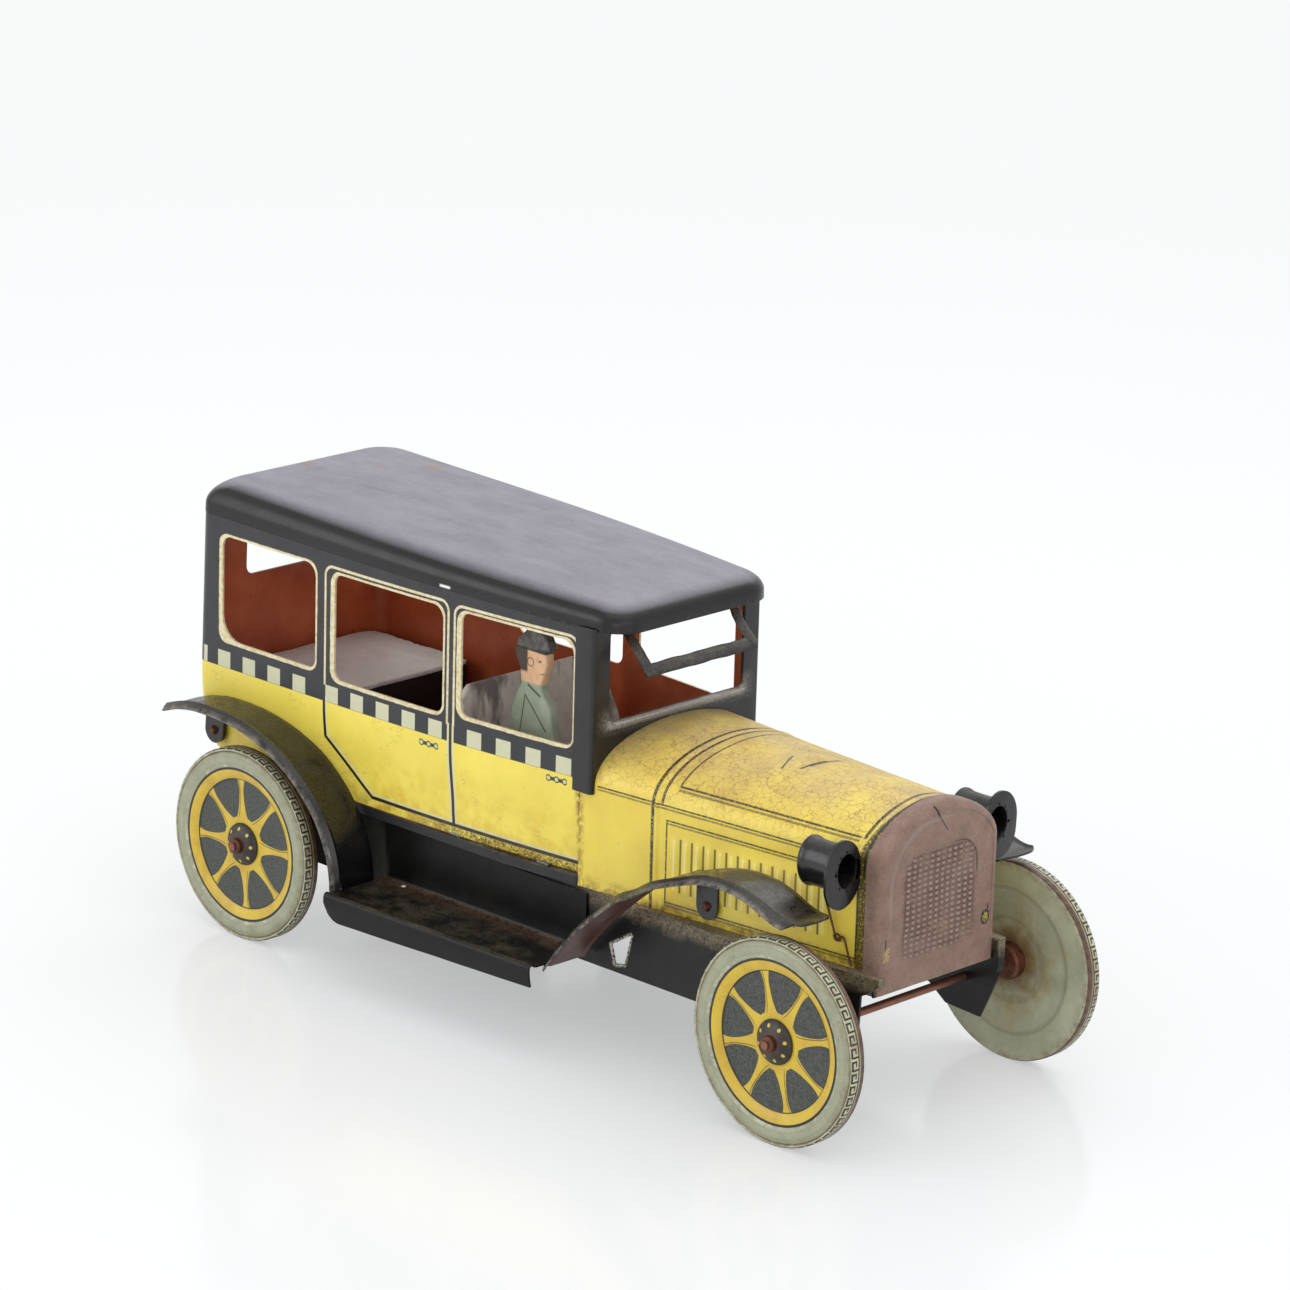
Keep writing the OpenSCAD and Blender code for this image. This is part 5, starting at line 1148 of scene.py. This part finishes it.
def placeFace(y, z):
    a = 1 - abs((y / grille["across"]) % 1 - 0.5) * 2
    b = 1 - abs((z / grille["up"]) % 1 - 0.5) * 2
    dx, dz = max(0, abs(y) - 8), max(0, z - 60)
    inside = math.hypot(dx, dz) < 5.2 if z > 60 else abs(y) < 13
    lift = 0.0
    if inside and grille["low"] < z:
        pressed = smooth(noise.noise(Vector((y * 0.13, z * 0.13, 4))), -0.5, 0.1)
        lift = grille["knob"] * smooth(a, 0.1, 0.5) * smooth(b, 0.1, 0.5) * pressed
        lift -= 0.24
    return Vector((196.15 + lift - 0.1 + 0.08 * noise.noise(Vector((y * 0.2, z * 0.2, 1))), y, z))


stepsY = [grille["across"] / 6 * i for i in range(-40, 41)]
stepsZ = [grille["up"] / 4 * i for i in range(115, 194)]
faceMesh = plate(face, [], stepsY, stepsZ, placeFace)
merge(radMesh, faceMesh)
bmesh.ops.remove_doubles(radMesh, verts=radMesh.verts, dist=0.02)
thicken(radMesh, grille["tin"], lambda p: Vector((150, 0, 55)) - p, 1)
piece("radiatorShell", radMesh, [radiatorInk, redInside], "car", "radiator", "radiator_print", 50)
print("hood and radiator built")


# headlamps and tie wire
lamp = {"rear": 178.6, "front": 190.6, "y": 26.34, "z": 64.1, "oval": 0.77, "leafHalf": 5.8, "leafTop": 7.0,
        "leaf": 0.8, "hole": (3.3, 4.25)}


def headlamp(side):
    outerSide = [(0.0, 0.0), (4.6, 0.0), (5.6, 0.25), (6.05, 0.7), (6.15, 1.3), (6.05, 1.9), (5.8, 2.4),
                 (5.72, 3.4), (5.7, 5.0), (5.7, 7.0), (5.75, 8.6), (5.95, 9.8), (6.1, 10.6), (6.1, 11.4),
                 (5.9, 11.9), (5.4, 12.0)]
    innerSide = [(4.5, 12.0), (4.2, 11.7), (4.15, 11.0), (4.15, 1.4), (3.9, 0.9), (0.0, 0.8)]
    bm = lathe(outerSide + innerSide, 64)
    for v in bm.verts:
        v.co = Vector((lamp["rear"] + v.co.z, v.co.y * lamp["oval"], lamp["z"] + v.co.x))

    def arc(low, angles):
        return [(lamp["leafHalf"] * math.cos(w) - 1.2, low + lamp["leafTop"] * math.sin(w))
                for w in (math.radians(a) for a in angles)]

    # an upright leaf with a blunt point below
    leaf = arc(0.6, [7.5 * i for i in range(25)]) + arc(-2.2, range(192, 241, 12))
    leaf += [(-2.5, -9.0), (-1.2, -9.2), (0.1, -9.0)] + arc(-2.2, range(300, 349, 12))
    hole = [(lamp["hole"][0] * math.cos(w), lamp["hole"][1] * math.sin(w))
            for w in (math.tau * i / 32 for i in range(32))]

    def placeLeaf(a, b):
        bow = 0.35 * smooth(math.hypot(a, b), 5, 9)
        return Vector((lamp["front"] - bow, a, lamp["z"] + b))

    flange = plate(leaf, [hole], [-5, -2.5, 0, 2.5], [-7, -5, -2.5, 0, 2.5, 5], placeLeaf)
    thicken(flange, lamp["leaf"], lambda p: Vector((-1, 0, 0)))
    merge(bm, flange)
    for v in bm.verts:
        v.co.y -= lamp["y"]
    if side > 0:
        mirrorY(bm)
    tag = sideName[side]
    piece("headlamp" + tag.capitalize(), bm, [lampPaint], "car", "headlamp_" + tag, "black_paint", 40)


for side in sideName:
    headlamp(side)
wirePath = [(180.6, 0.5, 18.2), (181, 1.4, 15.6), (182, 0.9, 12), (183, 0.7, 9), (184.2, 0.8, 6.6),
            (186.2, 0.9, 7.2), (187.4, 0.7, 4), (188.6, 0.6, 0.7)]
wireRun = curveThrough([(x, -hoodHalf(x) - o * 0.6 - 0.35, car["deck"] + z) for x, o, z in wirePath], 8)
wireMesh = tube(wireRun, 0.28, 8)
loopRun = curveThrough([(183.4, -22.1, 45.6), (184.6, -22.4, 46.4), (185.6, -22.3, 45.9), (185.2, -21.9, 44.8),
                        (184.0, -21.85, 44.6), (183.5, -22.1, 45.4)], 8)
merge(wireMesh, tube(loopRun, 0.26, 8))
piece("tieWire", wireMesh, [wireSteel], "car", "tie_wire", "wire", 50)


# fenders

def rearFenderLine(n):
    pts = []
    for i in range(n):
        w = math.pi / 2 * i / (n - 1)
        pts.append((-10 + 47.9 * math.cos(w), 22.6 + 36.4 * math.sin(w)))
    tail = curveThrough([(-10, 59.0, 0), (-16, 58.8, 0), (-22, 57.8, 0), (-27.5, 56.0, 0)], 6)
    return pts + [(p.x, p.y) for p in tail[1:]]


fenders = {"rearOut": 45.7, "frontIn": 29.4, "frontOut": 43.8, "tin": 0.5, "steps": 40, "bead": 0.6,
           "curl": 0.85}
frontPoints = [(109, 22.6), (112.4, 27.2), (115.6, 31), (120.4, 36), (126.8, 41.8), (133, 46.7), (138.4, 49.4),
               (144, 52.8), (153, 56.2), (160, 58.3), (167, 59), (173, 58.5), (178, 57.1), (183, 55.1),
               (187, 54.3), (191, 54.8)]


def fender(end, line, inner, outerY, extra, side, pointed):
    normals = []
    for i, p in enumerate(line):
        q0, q1 = line[max(i - 1, 0)], line[min(i + 1, len(line) - 1)]
        run = Vector((q1[0] - q0[0], q1[1] - q0[1])).normalized()
        nrm = Vector((-run.y, run.x))
        normals.append(nrm if nrm.y > 0 or (abs(nrm.y) < 0.2 and nrm.x > 0) else -nrm)

    def place(u, v):
        # the last millimetres draw in to a blunt point
        cut = pointed * (2 * abs(v - 0.45)) ** 2.2
        k = u * (len(line) - 1) - cut * smooth(u, 0.72, 1)
        i = min(int(k), len(line) - 2)
        x, z = lerp(line[i][0], line[i + 1][0], k - i), lerp(line[i][1], line[i + 1][1], k - i)
        y0 = inner(x, z)
        y = lerp(y0, outerY, v)
        fromEdge = outerY - y
        lift = -0.32
        if fromEdge < 3.2:
            lift += fenders["bead"] * math.exp(-((fromEdge - 2.1) / 0.6) ** 2)
        lift -= fenders["curl"] * smooth(fromEdge, 1.2, 0.0)
        lift -= 0.35 * smooth(y - y0, 1.6, 0)
        lift += 0.1 * noise.noise(Vector((x * 0.09, y * 0.15, 3)))
        n = normals[i]
        return Vector((x + n.x * lift, -y, z + n.y * lift))

    bm = surface(len(line) - 1, fenders["steps"], place)
    thicken(bm, fenders["tin"], lambda p: Vector((line[0][0] if end == "rear" else 150, -38, 20)) - p, 1)
    for extraMesh in extra:
        merge(bm, extraMesh)
    if side > 0:
        mirrorY(bm)
    tag = sideName[side]
    piece(end + "Fender" + tag.capitalize(), bm, [fenderPaint, fenderUnder], "car", "fender_%s_%s" % (end, tag),
          "black_paint", 45)


def disc(cx, cz, y0, y1, r, neck):
    # tab: a round end with a neck up to the fender
    loop = [(cx + r * math.cos(w), cz + r * math.sin(w))
            for w in (math.radians(a) for a in range(180, 361, 12))]
    bm = plate(loop + neck, [], [], [], lambda a, b: Vector((a, -y1, b)))
    thicken(bm, y1 - y0, lambda p: Vector((0, 1, 0)))
    return bm


def rearInner(x, z):
    # the rear fender follows the body above its sill
    return max(31.35, bodyHalf(x) - tumbleAt(z) + 0.12) if z > 41 else 31.35


frontLine = [(p.x, p.y) for p in curveThrough([(x, z, 0) for x, z in frontPoints], 5)]
for side in sideName:
    tab = disc(-22, 48, 31.5, 32.6, 3.4, [(-17.6, 58.0), (-24.8, 56.4)])
    fender("rear", rearFenderLine(40), rearInner, fenders["rearOut"], [tab], side, 0.0)
    tab = disc(146, 43.5, 24.92, 25.5, 3.4, [(149.4, 51.6), (142.6, 51.6)])
    web = block(142.6, 149.4, -30.2, -24.95, 51.1, 51.7, 0.15)
    fender("front", frontLine, lambda x, z: fenders["frontIn"], fenders["frontOut"], [tab, web], side, 4.5)

# running boards
board = {"rear": 38.05, "front": 108.95, "edgeRear": 48.6, "edgeFront": 46.9, "skirtTop": 22.4,
         "skirtLow": 16.6, "tin": 0.5, "steps": 70}
# section from the apron to the skirt; a negative first number counts from the outer edge
board["section"] = [(27.75, 37.5), (27.75, 30), (27.78, 24.4), (28.0, 23.4), (28.6, 22.8), (29.6, 22.55),
                    (34, 22.45), (41, 22.5), (-2.4, 22.55), (-1.5, 22.7), (-0.95, 23.1), (-0.5, 23.25),
                    (-0.15, 23.05), (0.0, 22.5), (0.0, 21.4), (0.0, 19.6), (-0.05, 18.0), (-0.15, 16.6)]


def placeBoard(u, v):
    x = lerp(board["rear"], board["front"], u)
    edge = lerp(board["edgeRear"], board["edgeFront"], u)
    k = v * (len(board["section"]) - 1)
    i = min(int(k), len(board["section"]) - 2)
    (ya, za), (yb, zb) = [(y if y > 10 else edge + y, z) for y, z in board["section"][i:i + 2]]
    y, z = lerp(ya, yb, k - i), lerp(za, zb, k - i)
    if z < board["skirtTop"] and y > 45:
        low = board["skirtLow"] + 1.44 * max(0, x - 43) / 66 + (5 - math.sqrt(max(0, 25 - max(0, 43 - x) ** 2)))
        z = lerp(board["skirtTop"], low, (board["skirtTop"] - z) / (board["skirtTop"] - board["skirtLow"]))
        y -= 0.5 * smooth(z, 22, 17)
    z += 0.1 * noise.noise(Vector((x * 0.08, y * 0.12, 2))) * (1 if y > 30 else 0)
    return Vector((x, -y, z))


for side, tag in sideName.items():
    boardMesh = surface(board["steps"], (len(board["section"]) - 1) * 2, placeBoard)
    thicken(boardMesh, board["tin"], lambda p: Vector((70, -30, 18)) - p, 0)
    if side > 0:
        mirrorY(boardMesh)
    piece("runningBoard" + tag.capitalize(), boardMesh, [boardPaint], "car", "running_board_" + tag,
          "black_paint", 45)
print("lamps, fenders and boards built")


# wheels: profiles are (radius, depth) from the inner side
wheel = {"turnSteps": 160, "capSteps": 64, "wobble": 0.05}
facePts = [(1.05, 3.08), (6.0, 3.08), (16.3, 3.02), (16.7, 3.06), (17.0, 3.25), (17.3, 3.5), (18.2, 3.95),
           (19.2, 4.22), (19.7, 4.28), (19.95, 4.2), (20.2, 4.36), (20.8, 4.6), (21.6, 4.76), (22.4, 4.8),
           (23.1, 4.72), (23.6, 4.52), (23.95, 4.2), (24.05, 3.9), (24.0, 3.3), (23.5, 3.3), (23.4, 4.0),
           (22.4, 4.3), (20.3, 3.95), (17.2, 2.62), (1.05, 2.6)]
backPts = [(3.2, 1.55), (8.9, 1.55), (10.5, 0.95), (17.4, 0.95), (18.5, 0.35), (24.05, 0.35), (24.05, 3.85),
           (24.3, 4.25), (24.62, 4.3), (24.88, 4.12), (25.0, 3.75), (25.0, 2.4), (25.0, 1.0), (24.93, 0.42),
           (24.72, 0.1), (24.4, 0.0), (23.2, 0.12), (20.5, 0.05), (18.6, 0.0), (18.0, 0.08), (17.4, 0.38),
           (16.8, 0.48), (10.6, 0.5), (9.9, 0.62), (9.0, 1.0), (8.4, 1.1), (3.2, 1.1)]
capPts = [(1.05, 3.12), (5.45, 3.12), (5.5, 3.3), (5.42, 3.6), (5.0, 4.0), (4.2, 4.45), (3.3, 4.85),
          (2.5, 5.05), (1.9, 5.1), (1.05, 5.1)]


def turned(profile, cx, track, side, steps):
    bm = lathe(profile + [profile[0]], steps)
    for v in bm.verts:
        wobble = wheel["wobble"] * math.sin(math.atan2(v.co.y, v.co.x) * 2 + cx) * smooth(v.co.xy.length, 8, 24)
        v.co = Vector((cx + v.co.x, side * (track / 2 - car["tyreW"] + v.co.z - abs(wobble)),
                       car["wheelR"] + v.co.y))
    return bm


for end, cx, track, first in (("front", car["base"], car["frontTrack"], 15.0),
                              ("rear", 0.0, car["rearTrack"], 4.0)):
    parts = {"wheelFace": ("wheel_face", "wheel_print", wheelPrint("wheelPrint" + end, cx, first), facePts,
                           "turnSteps", 40),
             "wheelBack": ("wheel_back", "tread_print", treadPrint("treadPrint" + end, cx, track), backPts,
                           "turnSteps", 40),
             "hubCap": ("hub_cap", "hub_print", hubPrint("hubPrint" + end, cx, first), capPts, "capSteps", 50)}
    for side, tag in sideName.items():
        for name, (node, slot, mat, profile, steps, sharp) in parts.items():
            bm = turned(profile, cx, track, side, wheel[steps])
            piece(name + end.capitalize() + tag.capitalize(), bm, [mat], end + "_wheels",
                  "%s_%s_%s" % (node, end, tag), slot, sharp)
print("wheels built")


# seats and driver
seats = {"benchCorner": 5.8, "benchTear": 1.6, "backDrop": 3.4, "wingSlope": 0.85, "wingRear": 60.2}


def feltCard(x0, x1, y0, y1, z0, z1, r, lumps, seed, steps=44):
    # card covered with felt: a subdivided cube rounded at its edges, its nap uneven on top
    bm = bmesh.new()
    bmesh.ops.create_cube(bm, size=1)
    bmesh.ops.subdivide_edges(bm, edges=bm.edges, cuts=steps, use_grid_fill=True)
    size = Vector((x1 - x0, y1 - y0, z1 - z0))
    for v in bm.verts:
        p = Vector((v.co.x * size.x, v.co.y * size.y, v.co.z * size.z))
        core = Vector([max(-(size[k] / 2 - r), min(size[k] / 2 - r, p[k])) for k in range(3)])
        away = p - core
        if away.length > 1e-6:
            p = core + away.normalized() * min(r, away.length) if away.length > r else p
        mid = Vector(((x0 + x1) / 2, (y0 + y1) / 2, (z0 + z1) / 2))
        p = mid + p
        if p.z > z1 - 1.2:
            p.z -= lumps * (0.5 + 0.5 * noise.noise(Vector((p.x * 0.16, p.y * 0.12, seed))))
            p.z -= lumps * 0.4 * (0.5 + 0.5 * noise.noise(Vector((p.x * 0.7, p.y * 0.6, seed))))
        v.co = p
    return bm


bench = feltCard(-28.0, 8.9, -27.6, 27.6, 60.75, 62.5, 0.7, 0.35, 3)
for v in bench.verts:
    # rear corners rounded, far edge torn
    dx, dy = -21.9 - v.co.x, abs(v.co.y) - 21.8
    if dx > 0 and dy > 0 and math.hypot(dx, dy) > seats["benchCorner"]:
        k = seats["benchCorner"] / math.hypot(dx, dy)
        v.co.x = -21.9 - dx * k
        v.co.y = math.copysign(21.8 + dy * k, v.co.y)
    if v.co.y > 20:
        v.co.y -= seats["benchTear"] * smooth(v.co.y, 22, 27.6) * abs(noise.noise(Vector((v.co.x * 0.5, 1, 2))))
piece("rearBench", bench, [benchFelt], "car", "rear_bench", "bench_felt", 60)
seat = feltCard(60.5, 84.3, -24.6, 24.6, 41.0, 57.0, 1.2, 0.7, 7)
piece("frontSeatBox", seat, [seatFelt], "car", "front_seat_base", "seat_felt", 60)
back = feltCard(58.55, 60.25, -24.6, 24.6, 41.0, 77.2, 0.75, 0.2, 9)
for v in back.verts:
    k = smooth(abs(v.co.y), 21, 24.6)
    v.co.z -= k * smooth(v.co.z, 70, 77) * seats["backDrop"]
for y in (-24.65, 23.0):
    wing = feltCard(seats["wingRear"], seats["wingRear"] + 7, y, y + 1.65, 57.3, 72.5, 0.7, 0.1, 11, 14)
    for v in wing.verts:
        v.co.x -= smooth(v.co.z, 60, 72.5) * (v.co.x - seats["wingRear"]) * seats["wingSlope"]
    merge(back, wing)
piece("frontSeatBack", back, [seatFelt], "car", "front_seat_back", "seat_felt", 60)


driver = {"x": 79.2, "foot": 57.1, "inner": -18.5, "tin": 3.0, "scale": 1.043, "edge": 0.7}


def driverPaint():
    s = Shader("driverPrint", 0.4)
    x = s.times(s.minus(s.x, driver["x"]), 0.958)
    z = s.times(s.minus(s.z, driver["foot"]), 0.958)
    coat = s.mix(s.patches(0.4, 0.7, 0.3, 5), rgb(150, 166, 142), rgb(172, 180, 158))
    skin = s.mix(s.patches(0.4, 0.7, 0.6, 5), rgb(232, 190, 150), rgb(220, 170, 130))
    color = s.mix(s.fade(z, 23.0, 23.4), coat, skin)
    hair = s.both(s.fade(x, -1.6, -2.2), s.fade(z, 25.4, 26.0))
    color = s.mix(hair, color, rgb(74, 66, 58))
    cap = s.fade(s.plus(z, s.times(x, 0.06)), 31.0, 31.3)
    color = s.mix(cap, color, s.mix(s.patches(0.4, 0.7, 0.9, 5, 0.7), rgb(66, 66, 64), rgb(120, 118, 110)))
    peak = s.stroke(x, z, (1.5, 31.6), (5.4, 31.4), 0.7)
    band = s.stroke(x, z, (-6.2, 31.2), (3.8, 31.2), 0.5)
    eye = s.stroke(x, z, (1.9, 29.0), (2.5, 29.0), 0.5)
    mouth = s.stroke(x, z, (2.5, 26.0), (3.4, 26.1), 0.25)
    ear = s.outline(s.radius(s.plus(x, 0.9), s.minus(z, 28.3)), 1.0, 0.25)
    folds = s.any(s.stroke(x, z, (-2.5, 20), (4.5, 12.5), 0.4), s.stroke(x, z, (-2.5, 20), (-4.5, 8), 0.35),
                  s.stroke(x, z, (3.0, 10.2), (8.6, 6.8), 0.35), s.stroke(x, z, (-1.5, 22.6), (2.4, 20.6), 0.6))
    color = s.tint(color, rgb(36, 30, 30), 0.8, s.any(peak, band, eye, mouth, ear, folds))
    color = wear(s, color, 0.5, 0.8)
    return s.finish(color, s.scaled(s.noise(0.6), 0.2, 0.3), s.bump(s.noise(0.7, 4), 0.2, 0.15))


figure = [(-7.4, 0), (-7.6, 10), (-7.2, 16), (-5.4, 20.4), (-4.2, 22.4), (-4.6, 26), (-6.4, 29.4), (-5.6, 33),
          (-2.6, 35.8), (1, 36.6), (4, 35), (5.6, 32.4), (4, 31.4), (4.4, 28.6), (3.6, 26), (2.6, 23.6),
          (2.8, 21.4), (5.4, 18.6), (6.4, 14), (7.2, 9.6), (9.2, 8.2), (9.2, 3.4), (6.4, 0)]
figureMesh = plate(figure, [], [], [], lambda a, b: Vector((driver["x"] + a * driver["scale"], driver["inner"],
                                                         driver["foot"] + b * driver["scale"])))
thicken(figureMesh, driver["tin"], lambda p: Vector((0, 1, 0)))
rim = [e for e in figureMesh.edges if len(e.link_faces) == 2 and e.calc_face_angle(0) > 1.2]
bmesh.ops.bevel(figureMesh, geom=rim, offset=driver["edge"], segments=3, affect="EDGES", profile=0.5,
                material=-1)
piece("driverFigure", figureMesh, [driverPaint()], "car", "driver", "driver_print", 50)
print("seats and driver built")


# solids of the frame that stay, with their finishes
looks = {"chassis": chassisPaint, "floor_pan": floorPaint, "mechanism_cover": floorPaint,
         "front_axle": rodSteel, "rear_axle": rodSteel, "front_bosses": nutSteel, "rear_bosses": nutSteel,
         "front_nuts": nutSteel, "rear_nuts": nutSteel, "fender_rivets": nutSteel,
         "mechanism_plate_right": tinPlate, "mechanism_plate_left": tinPlate, "plate_pillars": driveSteel,
         "pillar_nuts": driveSteel, "drive_gear": brass, "counter_gear": brass, "counter_pinion": driveSteel,
         "flywheel_pinion": driveSteel, "countershaft": driveSteel, "flywheel_shaft": driveSteel,
         "flywheel": iron, "body_tabs": tinPlate}
for name, mat in looks.items():
    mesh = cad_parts[name].data
    mesh.materials.clear()
    mesh.materials.append(mat)


# floor, light and camera: metres, but the camera's aim and offsets are in mm
studio = {"white": (0.945, 0.952, 0.958, 1), "world": 0.86, "size": 9.0, "bend": 6.0, "bendR": 1.2, "turn": 134,
          "azimuth": 44.04, "elevation": 16.69, "roll": 1.6, "aim": (60, 0, 30), "distance": 1318.69,
          "across": 29.33, "up": 50.84, "lens": 146.93, "sensor": 36, "near": 0.05}
# place, target, size and watts of each lamp
lamps = {"overhead": ((0.1, 0.1, 1.5), (0, 0, 0), (1.6, 1.6), 7),
         "window": ((-0.8, -1.3, 0.55), (0, 0, 0.06), (1.2, 0.9), 6.8),
         "farSide": ((-0.5, 1.6, 1.8), (-0.03, 0, 0.07), (2.0, 1.4), 12),
         "lowFront": ((1.0, -1.15, 0.34), (0.02, 0, 0.08), (0.4, 0.22), 1.4),
         "frontFill": ((1.9, -0.5, 0.8), (0.05, 0, 0.05), (1.4, 1.2), 4.5)}


def floorMaterial():
    s = Shader("floorSurface", 0.3)
    color = s.mix(s.patches(0.35, 0.7, 0.004, 3), (0.80, 0.82, 0.832, 1), (0.815, 0.835, 0.847, 1))
    mat = s.finish(color, s.scaled(s.noise(0.02, 4), 0.05, 0.12))
    # the camera sees plain white far from the car and a paler shadow near it
    far = s.scaled(s.fade(s.radius(s.x, s.y), 420, 900), 0.55, 0.45)
    path = s.tree.nodes.new("ShaderNodeLightPath").outputs
    seen = s.times(far, s.any(path["Is Camera Ray"], path["Is Glossy Ray"]))
    white = s.tree.nodes.new("ShaderNodeEmission")
    white.inputs["Color"].default_value = studio["white"]
    both = s.tree.nodes.new("ShaderNodeMixShader")
    s.feed(both.inputs[0], seen)
    s.tree.links.new(s.bsdf.outputs[0], both.inputs[1])
    s.tree.links.new(white.outputs[0], both.inputs[2])
    out = [n for n in s.tree.nodes if n.type == "OUTPUT_MATERIAL"][0]
    s.tree.links.new(both.outputs[0], out.inputs["Surface"])
    return mat


def sweep(u, v):
    # a floor that rises into a backdrop far behind the car
    bend, r = studio["bend"], studio["bendR"]
    run = u * studio["size"]
    y = (v - 0.5) * studio["size"]
    if run < bend:
        return Vector((run - bend / 2, y, 0))
    w = min(1, (run - bend) / 1.9) * math.pi / 2
    return Vector((bend / 2 + r * math.sin(w), y, r - r * math.cos(w) + max(0, run - bend - 1.9)))


floorMesh = surface(90, 8, sweep)
turnFloor = Matrix.Rotation(math.radians(studio["turn"]), 4, "Z")
for v in floorMesh.verts:
    v.co = turnFloor @ v.co
floorData = bpy.data.meshes.new("floor")
for f in floorMesh.faces:
    f.smooth = True
floorMesh.to_mesh(floorData)
floorMesh.free()
floorData.materials.append(floorMaterial())
floorObj = bpy.data.objects.new("floor", floorData)
bpy.context.scene.collection.objects.link(floorObj)

world = bpy.data.worlds.new("studio")
bpy.context.scene.world = world
world.use_nodes = True
world.node_tree.nodes["Background"].inputs[0].default_value = (1, 1, 1, 1)
world.node_tree.nodes["Background"].inputs[1].default_value = studio["world"]


def areaLight(name, where, target, size, power):
    data = bpy.data.lights.new(name, "AREA")
    data.shape = "RECTANGLE"
    data.size, data.size_y = size
    data.energy = power
    obj = bpy.data.objects.new(name, data)
    obj.location = where
    obj.rotation_euler = (Vector(target) - Vector(where)).to_track_quat("-Z", "Y").to_euler()
    bpy.context.scene.collection.objects.link(obj)


for name, (where, target, size, power) in lamps.items():
    areaLight(name, where, target, size, power)

az, el, roll = [math.radians(studio[key]) for key in ("azimuth", "elevation", "roll")]
backward = Vector((math.sin(az) * math.cos(el), -math.cos(az) * math.cos(el), math.sin(el)))
right0 = Vector((math.cos(az), math.sin(az), 0))
up0 = backward.cross(right0)
right = right0 * math.cos(roll) + up0 * math.sin(roll)
up = up0 * math.cos(roll) - right0 * math.sin(roll)
place = Vector(studio["aim"]) - Vector((car["middle"], 0, 0)) + backward * studio["distance"]
place += right * studio["across"] + up * studio["up"]
cam = bpy.data.cameras.new("camera")
cam.lens = studio["lens"]
cam.sensor_width = studio["sensor"]
cam.clip_start = studio["near"]
camObj = bpy.data.objects.new("camera", cam)
camObj.matrix_world = Matrix.Translation(place / 1000) @ Matrix((right, up, backward)).transposed().to_4x4()
bpy.context.scene.collection.objects.link(camObj)
bpy.context.scene.camera = camObj
bpy.context.scene.view_settings.view_transform = "Standard"

print("scene ready")
